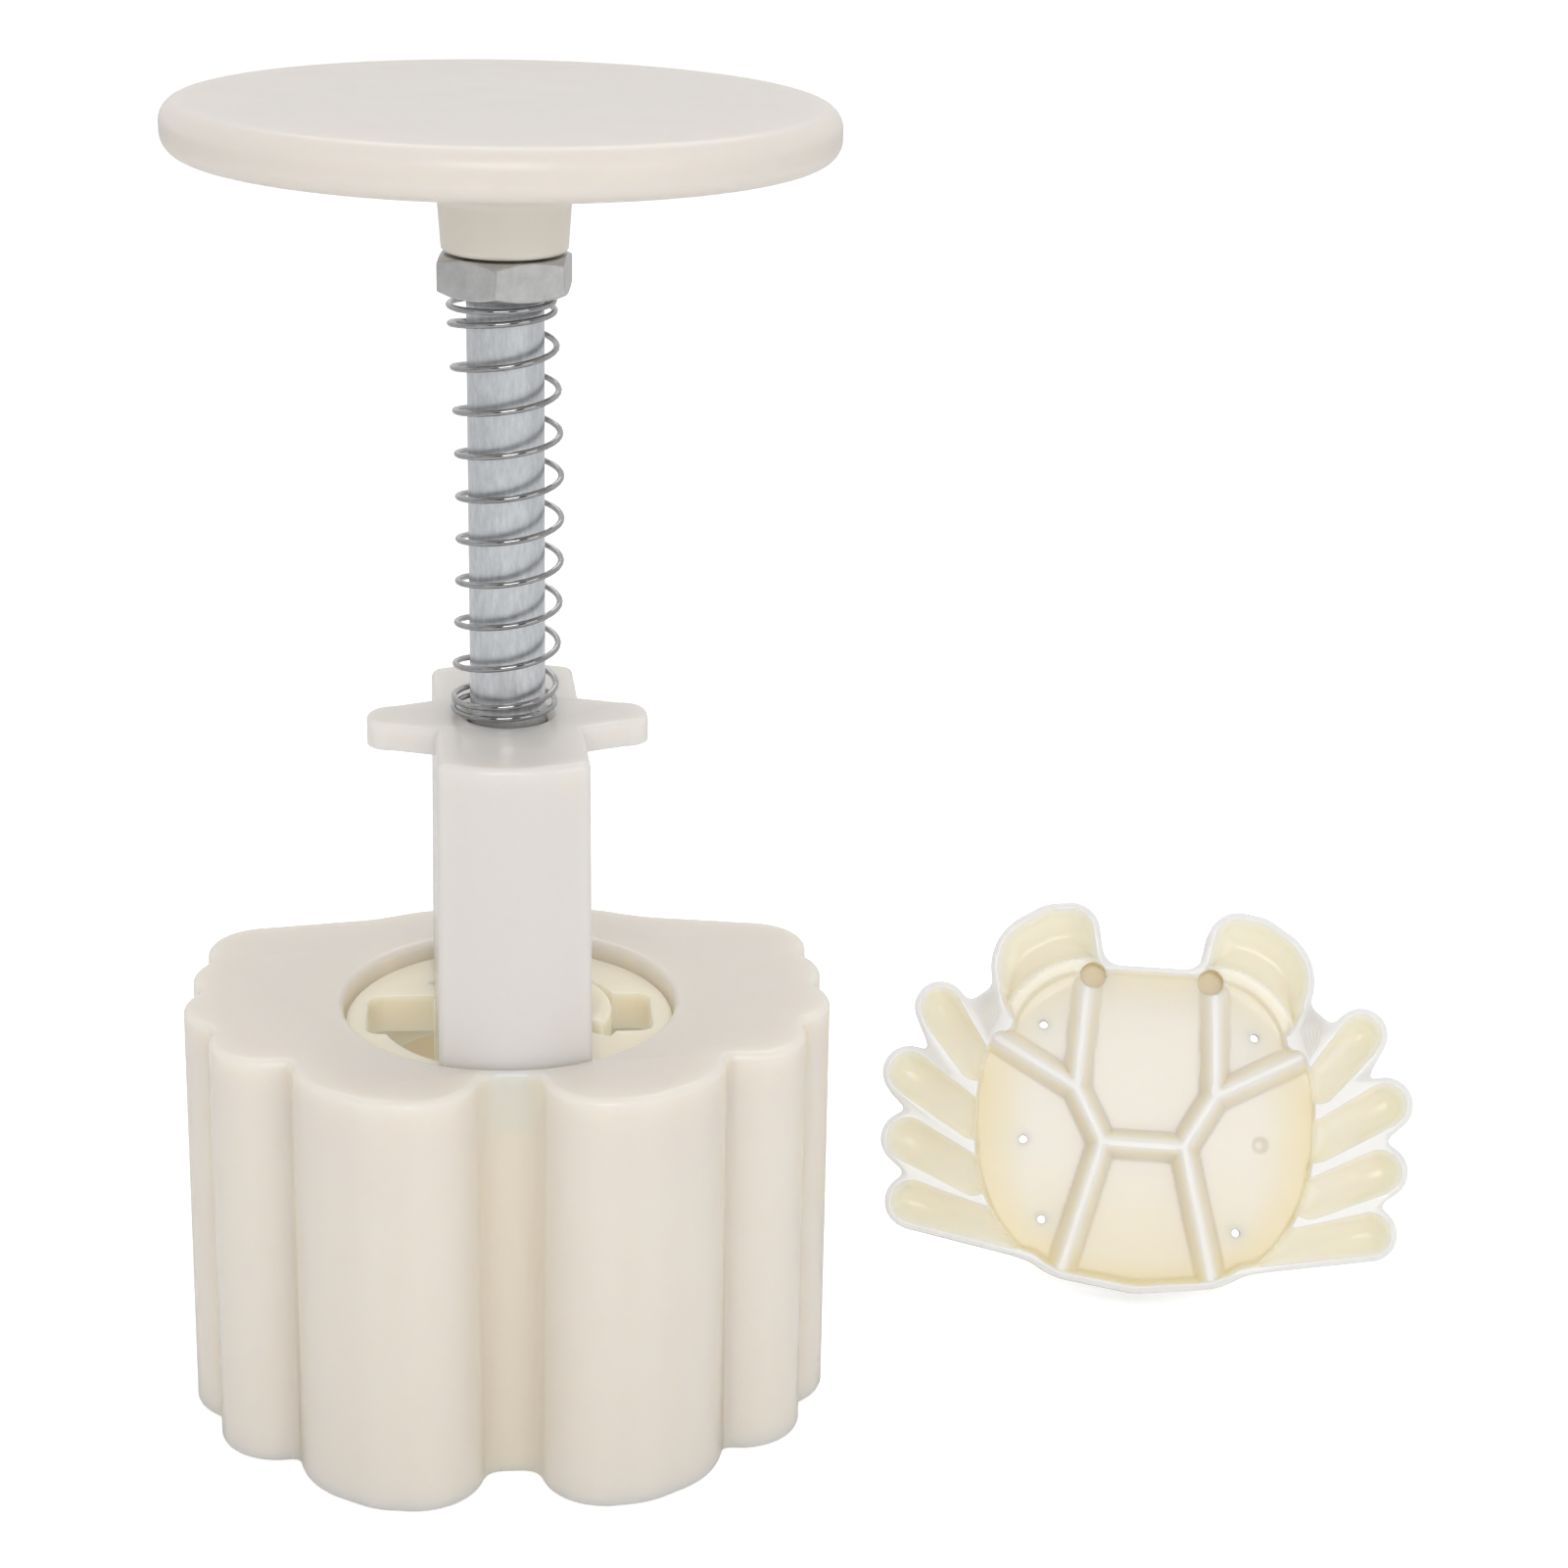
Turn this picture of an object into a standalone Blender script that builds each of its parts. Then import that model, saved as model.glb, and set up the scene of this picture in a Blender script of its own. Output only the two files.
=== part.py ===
"""Plunger mould for mooncakes: crab barrel, lock ring, guide tower, sprung plunger and a loose crab stamp.

Metres, +Z up. The origin lies on the table, under the middle of the whole object's box.
"""

import math

import bmesh
import bpy
from mathutils import Vector

MM = 0.001
GAP = 0.3 * MM

# Places on the table: the press axis, and the point under the middle of the stamp's face.
PRESS_X = -37.31 * MM
PRESS_Y = -11.71 * MM
STAND_X = PRESS_X + 77.36 * MM
STAND_Y = PRESS_Y + 20.82 * MM
STAND_TURN = math.radians(-11.0)

# Crab outline. Each limb is a tapered capsule in millimetres from the press axis: x, y and radius
# at its root, then at its tip. The claws point to the front, which is minus Y.
TRUNK = (
    (0.0, -6.5, 9.6, 8.3, -6.5, 9.6),
    (7.1, 3.2, 11.8, 10.6, 3.2, 11.8),
    (0.0, 14.2, 9.4, 6.9, 13.3, 9.4),
)
CLAW = (
    (12.8, -15.3, 7.0, 11.7, -17.9, 5.4),
    (11.7, -17.9, 5.4, 10.3, -19.8, 3.7),
)
SHOULDER = (17.6, -7.5, 5.0, 17.8, -7.5, 5.0)
LEGS = (
    (20.3, -1.8, 4.7, 25.7, -9.5, 3.2),
    (22.0, 3.6, 4.7, 29.0, -1.2, 3.3),
    (21.8, 10.5, 4.7, 28.7, 6.9, 3.3),
    (14.0, 15.9, 4.3, 27.7, 14.5, 3.3),
)
CLAW_FILLET = 2.1
SHOULDER_FILLET = 1.7
LEG_FILLET = 1.4
OUTLINE_STEP = 0.35
OUTLINE_CHORD = 0.035

# Barrel.
BARREL_HEIGHT = 48.5 * MM
BORE_CLEARANCE = 0.3
WALL_FOOT = 3.6
WALL_TOP = 3.25
BARREL_EDGE = 2.0 * MM
CHAMBER_DEPTH = 38.0 * MM
OPENING_RADIUS = 18.3 * MM
LEDGE_RADIUS = 15.9 * MM
LIP_DEPTH = 2.0 * MM

# Lock ring, dropped into the opening onto a ledge.
RING_RADIUS = 18.0 * MM
RING_TOP = BARREL_HEIGHT - LIP_DEPTH
RING_FOOT = 42.1 * MM
RING_BORE = 9.0 * MM
RING_ARM_REACH = 15.8 * MM
RING_ARM_WIDTH = 10.2 * MM
RING_LOBE_RADIUS = 12.7 * MM
RING_LOBE_FROM = math.radians(-31)
RING_LOBE_TO = math.radians(137)
RING_RELIEF_RADIUS = 14.4 * MM
RING_RELIEF_FROM = math.radians(195)
RING_RELIEF_TO = math.radians(262)

# Guide tower: a slab with round ends, wings at its top, a neck, a cam and two lugs at its foot.
TOWER_TURN = math.radians(2.2)
TOWER_RADIUS = 18.0 * MM
TOWER_TOP = 81.7 * MM
TOWER_FOOT = 38.3 * MM
SLAB_FOOT = RING_TOP + GAP
SLAB_HALF_FOOT = 8.15 * MM
SLAB_HALF_TOP = 7.85 * MM
SLAB_EDGE = 1.0 * MM
WING_REACH = 15.0 * MM
WING_ROOT_HALF = 5.6 * MM
WING_TIP_HALF = 3.5 * MM
WING_CORNER = 1.8 * MM
WING_THICKNESS = 2.8 * MM
NECK_RADIUS = 8.4 * MM
CAM_RADIUS = 11.3 * MM
CAM_FROM = math.radians(-28)
CAM_TO = math.radians(44)
CAM_FOOT = 42.6 * MM
LUG_REACH = 15.3 * MM
LUG_WIDTH = 8.0 * MM
LUG_TOP = 41.6 * MM
CHAMBER_RADIUS = 6.6 * MM
CHAMBER_TOP = 63.4 * MM
ROD_BORE = 4.3 * MM
BORE_MOUTH = 5.1 * MM

# Plunger.
ROD_RADIUS = 4.0 * MM
ROD_TOP = 140.6 * MM
ROD_FOOT = 48.8 * MM
ROD_CHAMFER = 0.8 * MM
GROOVE_RADIUS = 3.1 * MM
GROOVE_FOOT = 61.6 * MM
GROOVE_TOP = 63.0 * MM
CLIP_FOOT = 61.9 * MM
CLIP_THICKNESS = 0.8 * MM
CLIP_OUTER = 6.1 * MM
CLIP_INNER = 3.4 * MM
CLIP_MOUTH = 4.6 * MM
NUT_FLATS = 13.0 * MM
NUT_FOOT = 127.1 * MM
NUT_TOP = 131.1 * MM
NUT_CHAMFER = 0.55 * MM
NUT_TURN = math.radians(-97)
KNOB_RADIUS = 34.0 * MM
KNOB_TOP = 146.5 * MM
KNOB_RIM = 5.2 * MM
KNOB_EDGE = 2.1 * MM
BOSS_FOOT = 131.4 * MM
BOSS_FOOT_RADIUS = 6.5 * MM
BOSS_TOP_RADIUS = 6.8 * MM
FLARE_RADIUS = 8.4 * MM
FLARE_HEIGHT = 135.9 * MM
INSERT_RADIUS = 5.2 * MM
KNOB_INSERT_FOOT = 131.7 * MM
KNOB_INSERT_TOP = 140.9 * MM

# Spring: 0.6 mm wire, right-handed, closed at both ends.
WIRE_RADIUS = 0.3 * MM
COIL_RADIUS = 5.4 * MM
COIL_TURNS = 11.9
COIL_START = math.radians(90)
FOOT_TURNS = 1.2
HEAD_TURNS = 1.1
RAMP_TURNS = 0.6
END_PITCH = 1.08 * MM
SPRING_BOW = 0.75 * MM
SPRING_LEAN = -0.4 * MM
CURL_POINTS = 10

# Stamp, in its mounted frame: face at zero looking down, claws to minus Y, stem upwards.
STAMP_THICKNESS = 8.0 * MM
STEM_RADIUS = 6.2 * MM
STEM_END = 39.0 * MM
STEM_ROOT_RADIUS = 9.0 * MM
STEM_ROOT_HEIGHT = 2.4 * MM
STAMP_INSERT_DEPTH = 12.3 * MM
STAMP_THREAD_BORE = 3.4 * MM
RIM_WIDTH = 0.85
LEG_SCOOP_LENGTH = 6.8
EYE_RADIUS = 1.6 * MM
EYE_DEPTH = 2.4 * MM
VENT_RADIUS = 0.5 * MM
SCOOP_HEIGHT = -0.13
PANEL_DEPTH = 2.2 * MM
PANEL_SLOPE = 0.6

IVORY = (0.80, 0.74, 0.62)
WHITE = (0.78, 0.77, 0.73)
CREAM = (0.84, 0.79, 0.62)
ZINC = (0.62, 0.65, 0.68)
NICKEL = (0.66, 0.66, 0.66)
BRASS = (0.72, 0.56, 0.27)


def start_empty():
    """Removes every object that the scene came with."""
    for item in list(bpy.data.objects):
        bpy.data.objects.remove(item, do_unlink=True)


def finish_material(name, colour, roughness, metallic):
    """A plain Principled material for one sub-part."""
    material = bpy.data.materials.new(name)
    material.use_nodes = True
    shader = material.node_tree.nodes["Principled BSDF"]
    shader.inputs["Base Color"].default_value = (*colour, 1.0)
    shader.inputs["Roughness"].default_value = roughness
    shader.inputs["Metallic"].default_value = metallic
    material.diffuse_color = (*colour, 1.0)
    return material


def limb_distance(x, y, limb):
    """Exact distance to a tapered capsule, negative inside."""
    root_x, root_y, root_radius, tip_x, tip_y, tip_radius = limb
    run_x = tip_x - root_x
    run_y = tip_y - root_y
    length = math.hypot(run_x, run_y)
    along = ((x - root_x) * run_x + (y - root_y) * run_y) / length
    across = abs((y - root_y) * run_x - (x - root_x) * run_y) / length
    taper = (root_radius - tip_radius) / length
    lean = math.sqrt(1.0 - taper * taper)
    reach = lean * along - taper * across
    if reach < 0.0:
        return math.hypot(across, along) - root_radius
    if reach > lean * length:
        return math.hypot(across, along - length) - tip_radius
    return lean * across + taper * along - root_radius


def blend(first, second, fillet):
    """Union of two distances, with a fillet where they meet."""
    mix = min(1.0, max(0.0, 0.5 + 0.5 * (second - first) / fillet))
    return second * (1.0 - mix) + first * mix - fillet * mix * (1.0 - mix)


def crab_distance(x, y):
    """Distance to the crab outline in millimetres, negative inside."""
    x = abs(x)
    value = min(limb_distance(x, y, limb) for limb in TRUNK)
    claw = min(limb_distance(x, y, limb) for limb in CLAW)
    value = blend(value, claw, CLAW_FILLET)
    value = blend(value, limb_distance(x, y, SHOULDER), SHOULDER_FILLET)
    for leg in LEGS:
        value = blend(value, limb_distance(x, y, leg), LEG_FILLET)
    return value


def crab_slope(x, y):
    """Direction in which the distance to the outline grows."""
    reach = 0.01
    slope_x = crab_distance(x + reach, y) - crab_distance(x - reach, y)
    slope_y = crab_distance(x, y + reach) - crab_distance(x, y - reach)
    return slope_x / (2.0 * reach), slope_y / (2.0 * reach)


def settle(x, y, level):
    """Moves a point along the slope until it lies at the given distance from the outline."""
    for _ in range(5):
        slope_x, slope_y = crab_slope(x, y)
        error = (crab_distance(x, y) - level) / (slope_x ** 2 + slope_y ** 2)
        x -= slope_x * error
        y -= slope_y * error
    return x, y


def crab_half(level):
    """Walks round the right half of the outline, from the belly to the head."""
    x, y = settle(0.0, 24.0 + level, level)
    points = [(0.0, y)]
    while len(points) < 3 or x > 0.0:
        slope_x, slope_y = crab_slope(x, y)
        size = math.hypot(slope_x, slope_y)
        x += OUTLINE_STEP * slope_y / size
        y -= OUTLINE_STEP * slope_x / size
        x, y = settle(x, y, level)
        points.append((x, y))
    points[-1] = (0.0, points[-2][1])
    return points


def thin_out(points):
    """Drops the points that a straight chord can stand for."""
    kept = [points[0]]
    first = 0
    for last in range(2, len(points)):
        start = Vector(points[first])
        chord = Vector(points[last]) - start
        bow = max(abs(chord.cross(Vector(point) - start)) for point in points[first + 1:last])
        if bow > OUTLINE_CHORD * chord.length:
            first = last - 1
            kept.append(points[first])
    kept.append(points[-1])
    return kept


def crab_outline(level):
    """The whole outline at a distance from the crab's own edge, as points in metres."""
    half = thin_out(crab_half(level))
    mirrored = [(-x, y) for x, y in reversed(half[1:-1])]
    return [(x * MM, y * MM) for x, y in half + mirrored]


def arc(radius, start, end, steps, centre=(0.0, 0.0)):
    """Points on an arc, both ends included."""
    angles = [start + (end - start) * step / steps for step in range(steps + 1)]
    return [(centre[0] + radius * math.cos(a), centre[1] + radius * math.sin(a)) for a in angles]


def place_mesh(name, mesh, material=None, smooth=True):
    """Makes an object from a bmesh, smooth except over sharp edges."""
    bmesh.ops.recalc_face_normals(mesh, faces=mesh.faces)
    data = bpy.data.meshes.new(name)
    mesh.to_mesh(data)
    mesh.free()
    item = bpy.data.objects.new(name, data)
    bpy.context.scene.collection.objects.link(item)
    if material:
        data.materials.append(material)
    if smooth:
        data.shade_smooth()
        data.set_sharp_from_angle(angle=math.radians(32))
    return item


def prism(points, foot, top):
    """A closed upright solid over an outline."""
    mesh = bmesh.new()
    ring = [mesh.verts.new((x, y, foot)) for x, y in points]
    face = mesh.faces.new(ring)
    lifted = bmesh.ops.extrude_face_region(mesh, geom=[face])["geom"]
    raised = [part for part in lifted if isinstance(part, bmesh.types.BMVert)]
    bmesh.ops.translate(mesh, vec=(0.0, 0.0, top - foot), verts=raised)
    return mesh


def top_edges(mesh, height):
    """The edges that lie wholly at a height."""
    return [edge for edge in mesh.edges if all(abs(v.co.z - height) < 1e-6 for v in edge.verts)]


def round_edges(mesh, edges, width, segments):
    """Rounds edges with the bevel operator."""
    bmesh.ops.bevel(mesh, geom=edges, offset=width, offset_type="OFFSET", segments=segments,
                    profile=0.5, affect="EDGES", clamp_overlap=True, material=-1)


def lathe(profile, segments):
    """Turns a closed profile of radius and height about the Z axis."""
    mesh = bmesh.new()
    ring = [mesh.verts.new((radius, 0.0, height)) for radius, height in profile]
    edges = [mesh.edges.new((a, b)) for a, b in zip(ring, ring[1:] + ring[:1])]
    bmesh.ops.spin(mesh, geom=ring + edges, cent=(0, 0, 0), axis=(0, 0, 1), dvec=(0, 0, 0),
                   angle=2.0 * math.pi, steps=segments, use_merge=True, use_duplicate=False)
    bmesh.ops.remove_doubles(mesh, verts=mesh.verts, dist=1e-6)
    return mesh


def rod_profile(radius, foot, top):
    """A plain cylinder for the lathe."""
    return [(0.0, foot), (radius, foot), (radius, top), (0.0, top)]


def box_mesh(low, high):
    """An axis-aligned box between two corners."""
    mesh = bmesh.new()
    bmesh.ops.create_cube(mesh, size=1.0)
    size = Vector(high) - Vector(low)
    middle = (Vector(high) + Vector(low)) / 2.0
    bmesh.ops.scale(mesh, vec=size, verts=mesh.verts)
    bmesh.ops.translate(mesh, vec=middle, verts=mesh.verts)
    return mesh


def boolean(item, mesh, operation, name):
    """Adds or removes a guide solid with an exact Boolean modifier."""
    guide = place_mesh(name, mesh, smooth=False)
    guide.parent = item.parent
    guide.matrix_parent_inverse = item.matrix_parent_inverse.copy()
    guide.location = item.location
    guide.rotation_euler = item.rotation_euler
    guide.hide_render = True
    guide.display_type = "WIRE"
    step = item.modifiers.new(name, "BOOLEAN")
    step.operation = operation
    step.solver = "EXACT"
    step.object = guide
    return guide


def make_empty(name, location, turn=0.0):
    """An empty that carries pieces or marks a joint's axis."""
    empty = bpy.data.objects.new(name, None)
    bpy.context.scene.collection.objects.link(empty)
    empty.location = location
    empty.rotation_euler = (0.0, 0.0, turn)
    empty.empty_display_size = 0.01
    return empty


def make_barrel(axis):
    """Crab shaped sleeve with a dough chamber below and a round opening above."""
    foot = crab_outline(WALL_FOOT)
    mesh = prism(foot, 0.0, BARREL_HEIGHT)
    for vertex in mesh.verts:
        if vertex.co.z > BARREL_HEIGHT / 2.0:
            x, y = settle(vertex.co.x / MM, vertex.co.y / MM, WALL_TOP)
            vertex.co.x = x * MM
            vertex.co.y = y * MM
    round_edges(mesh, top_edges(mesh, BARREL_HEIGHT), BARREL_EDGE, 3)
    barrel = place_mesh("barrel", mesh, finish_material("barrel_plastic", IVORY, 0.28, 0.0))
    barrel.parent = axis
    chamber = prism(crab_outline(BORE_CLEARANCE), -GAP, CHAMBER_DEPTH)
    boolean(barrel, chamber, "DIFFERENCE", "chamber_cutter")
    opening = lathe([
        (0.0, CHAMBER_DEPTH - 2.0 * MM),
        (LEDGE_RADIUS, CHAMBER_DEPTH - 2.0 * MM),
        (LEDGE_RADIUS, RING_FOOT - GAP),
        (OPENING_RADIUS, RING_FOOT - GAP),
        (OPENING_RADIUS, BARREL_HEIGHT - 0.7 * MM),
        (OPENING_RADIUS + 0.35 * MM, BARREL_HEIGHT - 0.15 * MM),
        (OPENING_RADIUS + 1.2 * MM, BARREL_HEIGHT + 0.2 * MM),
        (0.0, BARREL_HEIGHT + 0.2 * MM),
    ], 96)
    boolean(barrel, opening, "DIFFERENCE", "opening_cutter")
    return barrel


def sector(radius, start, end, foot, top, steps):
    """A pie slice about the press axis."""
    return prism([(0.0, 0.0)] + arc(radius, start, end, steps), foot, top)


def make_lock_ring(axis):
    """Insert with a keyhole for the lugs, room for the cam and a relief at the front left."""
    blank = lathe(rod_profile(RING_RADIUS, RING_FOOT, RING_TOP), 96)
    ring = place_mesh("lock_ring", blank, finish_material("ring_plastic", CREAM, 0.3, 0.0))
    ring.parent = axis
    low = RING_FOOT - 1.0 * MM
    high = RING_TOP + 1.0 * MM
    half = RING_ARM_WIDTH / 2.0
    arms = box_mesh((-RING_ARM_REACH, -half, low), (RING_ARM_REACH, half, high))
    upright = [edge for edge in arms.edges if abs(edge.verts[0].co.z - edge.verts[1].co.z) > MM]
    round_edges(arms, upright, 1.6 * MM, 4)
    boolean(ring, arms, "DIFFERENCE", "arm_cutter")
    boolean(ring, lathe(rod_profile(RING_BORE, low, high), 64), "DIFFERENCE", "ring_bore_cutter")
    room = sector(RING_LOBE_RADIUS, RING_LOBE_FROM, RING_LOBE_TO, low, high, 30)
    boolean(ring, room, "DIFFERENCE", "cam_room_cutter")
    relief = sector(RING_RELIEF_RADIUS, RING_RELIEF_FROM, RING_RELIEF_TO, low, high, 14)
    boolean(ring, relief, "DIFFERENCE", "relief_cutter")
    return ring


def slab_outline(half_width, radius):
    """A strip across a circle: flat sides and round ends."""
    lean = math.asin(half_width / radius)
    front = arc(radius, -math.pi / 2.0 - lean, -math.pi / 2.0 + lean, 8)
    rear = arc(radius, math.pi / 2.0 - lean, math.pi / 2.0 + lean, 8)
    return front + rear


def wing_outline():
    """Both wings as one tapered plank with rounded corners."""
    corner_y = WING_TIP_HALF - WING_CORNER
    corner_x = WING_REACH - WING_CORNER
    lower = arc(WING_CORNER, -math.pi / 2.0, 0.0, 4, (corner_x, -corner_y))
    upper = arc(WING_CORNER, 0.0, math.pi / 2.0, 4, (corner_x, corner_y))
    root = SLAB_HALF_TOP - 1.0 * MM
    right = [(root, -WING_ROOT_HALF)] + lower + upper + [(root, WING_ROOT_HALF)]
    left = [(-x, -y) for x, y in right]
    return right + left


def make_tower(axis):
    """The sleeve that guides the rod and locks into the ring by a quarter turn."""
    mesh = prism(slab_outline(SLAB_HALF_FOOT, TOWER_RADIUS), SLAB_FOOT, TOWER_TOP)
    narrow = SLAB_HALF_TOP / SLAB_HALF_FOOT
    for vertex in mesh.verts:
        if vertex.co.z > (SLAB_FOOT + TOWER_TOP) / 2.0:
            vertex.co.x *= narrow
    round_edges(mesh, top_edges(mesh, TOWER_TOP), SLAB_EDGE, 2)
    tower = place_mesh("guide_tower", mesh, finish_material("tower_plastic", WHITE, 0.3, 0.0))
    tower.parent = axis
    wings = prism(wing_outline(), TOWER_TOP - WING_THICKNESS, TOWER_TOP)
    boolean(tower, wings, "UNION", "wing_guide")
    neck = lathe(rod_profile(NECK_RADIUS, TOWER_FOOT, SLAB_FOOT + 1.0 * MM), 64)
    boolean(tower, neck, "UNION", "neck_guide")
    cam = sector(CAM_RADIUS, CAM_FROM, CAM_TO, CAM_FOOT, SLAB_FOOT + 0.6 * MM, 14)
    round_edges(cam, top_edges(cam, SLAB_FOOT + 0.6 * MM), 0.8 * MM, 2)
    boolean(tower, cam, "UNION", "cam_guide")
    lugs = prism(slab_outline(LUG_WIDTH / 2.0, LUG_REACH), TOWER_FOOT + 0.2 * MM, LUG_TOP)
    boolean(tower, lugs, "UNION", "lug_guide")
    bore = lathe([
        (0.0, TOWER_FOOT - 1.0 * MM),
        (CHAMBER_RADIUS, TOWER_FOOT - 1.0 * MM),
        (CHAMBER_RADIUS, CHAMBER_TOP),
        (ROD_BORE, CHAMBER_TOP),
        (ROD_BORE, TOWER_TOP - 0.8 * MM),
        (BORE_MOUTH + 0.2 * MM, TOWER_TOP + 0.2 * MM),
        (0.0, TOWER_TOP + 0.2 * MM),
    ], 48)
    boolean(tower, bore, "DIFFERENCE", "rod_bore_cutter")
    return tower


def spring_pitch_share(turn):
    """How open the coil is at a turn: nothing in the closed ends, one in the middle."""
    rise = (turn - FOOT_TURNS) / RAMP_TURNS
    fall = (COIL_TURNS - HEAD_TURNS - turn) / RAMP_TURNS
    share = min(1.0, max(0.0, min(rise, fall)))
    return share * share * (3.0 - 2.0 * share)


def spring_points():
    """Points along the wire, from the foot on the tower to the head under the nut."""
    foot = TOWER_TOP + GAP + WIRE_RADIUS
    head = NUT_FOOT - GAP - WIRE_RADIUS
    open_turns = COIL_TURNS - FOOT_TURNS - HEAD_TURNS - RAMP_TURNS
    open_pitch = END_PITCH + (head - foot - END_PITCH * COIL_TURNS) / open_turns
    fine = 20
    count = round(COIL_TURNS * CURL_POINTS)
    step = COIL_TURNS / count
    height = foot
    points = []
    for index in range(count + 1):
        turn = index * step
        lift = (height - foot) / (head - foot)
        shift = SPRING_LEAN + SPRING_BOW * math.sin(math.pi * min(1.0, max(0.0, lift)))
        angle = COIL_START + 2.0 * math.pi * turn
        x = shift + COIL_RADIUS * math.cos(angle)
        points.append(Vector((x, COIL_RADIUS * math.sin(angle), height)))
        for part in range(fine):
            share = spring_pitch_share(turn + (part + 0.5) * step / fine)
            height += (END_PITCH + (open_pitch - END_PITCH) * share) * step / fine
    return points


def print_least_gap(points):
    """Prints the least distance between neighbouring turns of the wire, surface to surface."""
    apart = CURL_POINTS // 2
    least = min(
        distance_to_chord(point, points[j], points[j + 1])
        for i, point in enumerate(points)
        for j in range(i + apart, min(len(points) - 1, i + 2 * CURL_POINTS))
    )
    print(f"spring: least gap between turns {(least - 2.0 * WIRE_RADIUS) / MM:.2f} mm")


def distance_to_chord(point, start, end):
    """Distance from a point to a straight stretch of wire."""
    run = end - start
    share = min(1.0, max(0.0, (point - start).dot(run) / run.length_squared))
    return (point - start - run * share).length


def make_spring(axis):
    """One unbroken tube that follows the wire."""
    points = spring_points()
    print_least_gap(points)
    curve = bpy.data.curves.new("spring", "CURVE")
    curve.dimensions = "3D"
    curve.bevel_depth = WIRE_RADIUS
    curve.bevel_resolution = 1
    curve.use_fill_caps = True
    path = curve.splines.new("POLY")
    path.points.add(len(points) - 1)
    for target, point in zip(path.points, points):
        target.co = (*point, 1.0)
    curve.materials.append(finish_material("spring_nickel", NICKEL, 0.2, 1.0))
    spring = bpy.data.objects.new("spring", curve)
    bpy.context.scene.collection.objects.link(spring)
    spring.parent = axis
    return spring


def make_rod(axis):
    """Steel rod with chamfered ends and a groove for the clip."""
    profile = [
        (0.0, ROD_FOOT),
        (ROD_RADIUS - ROD_CHAMFER, ROD_FOOT),
        (ROD_RADIUS, ROD_FOOT + ROD_CHAMFER),
        (ROD_RADIUS, GROOVE_FOOT),
        (GROOVE_RADIUS, GROOVE_FOOT),
        (GROOVE_RADIUS, GROOVE_TOP),
        (ROD_RADIUS, GROOVE_TOP),
        (ROD_RADIUS, ROD_TOP - ROD_CHAMFER),
        (ROD_RADIUS - ROD_CHAMFER, ROD_TOP),
        (0.0, ROD_TOP),
    ]
    rod = place_mesh("rod", lathe(profile, 48), finish_material("rod_zinc", ZINC, 0.35, 1.0))
    rod.parent = axis
    return rod


def make_clip(axis):
    """Open clip that sits in the rod's groove and stops it under the tower's shoulder."""
    mouth = math.asin(CLIP_MOUTH / 2.0 / CLIP_INNER)
    outer_mouth = math.asin(CLIP_MOUTH / 2.0 / CLIP_OUTER)
    start = math.pi / 2.0
    outer = arc(CLIP_OUTER, start + outer_mouth, start + 2.0 * math.pi - outer_mouth, 30)
    inner = arc(CLIP_INNER, start + 2.0 * math.pi - mouth, start + mouth, 24)
    mesh = prism(outer + inner, CLIP_FOOT, CLIP_FOOT + CLIP_THICKNESS)
    clip = place_mesh("retaining_clip", mesh, finish_material("clip_steel", NICKEL, 0.3, 1.0))
    clip.parent = axis
    return clip


def make_nut(axis):
    """Thin hexagon nut, chamfered on both faces, that locks the rod against the knob."""
    corner = NUT_FLATS / math.sqrt(3.0)
    hexagon = [(corner * math.cos(NUT_TURN + side * math.pi / 3.0),
                corner * math.sin(NUT_TURN + side * math.pi / 3.0)) for side in range(6)]
    blank = prism(hexagon, NUT_FOOT, NUT_TOP)
    nut = place_mesh("lock_nut", blank, finish_material("nut_zinc", ZINC, 0.4, 1.0))
    nut.parent = axis
    flat = NUT_FLATS / 2.0 - 0.1 * MM
    reach = corner + 1.0 * MM
    fall = (reach - flat) * NUT_CHAMFER / (corner - flat)
    dome = lathe([
        (0.0, NUT_FOOT - 0.1 * MM),
        (flat, NUT_FOOT - 0.1 * MM),
        (flat, NUT_FOOT),
        (reach, NUT_FOOT + fall),
        (reach, NUT_TOP - fall),
        (flat, NUT_TOP),
        (flat, NUT_TOP + 0.1 * MM),
        (0.0, NUT_TOP + 0.1 * MM),
    ], 48)
    boolean(nut, dome, "INTERSECT", "nut_dome_guide")
    hole = lathe(rod_profile(ROD_BORE, NUT_FOOT - MM, NUT_TOP + MM), 48)
    boolean(nut, hole, "DIFFERENCE", "nut_hole_cutter")
    return nut


def edge_arc(radius, height, size, start, end, steps):
    """A rounded edge of a turned profile."""
    return [(radius + size * math.cos(math.radians(a)), height + size * math.sin(math.radians(a)))
            for a in [start + (end - start) * step / steps for step in range(steps + 1)]]


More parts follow.
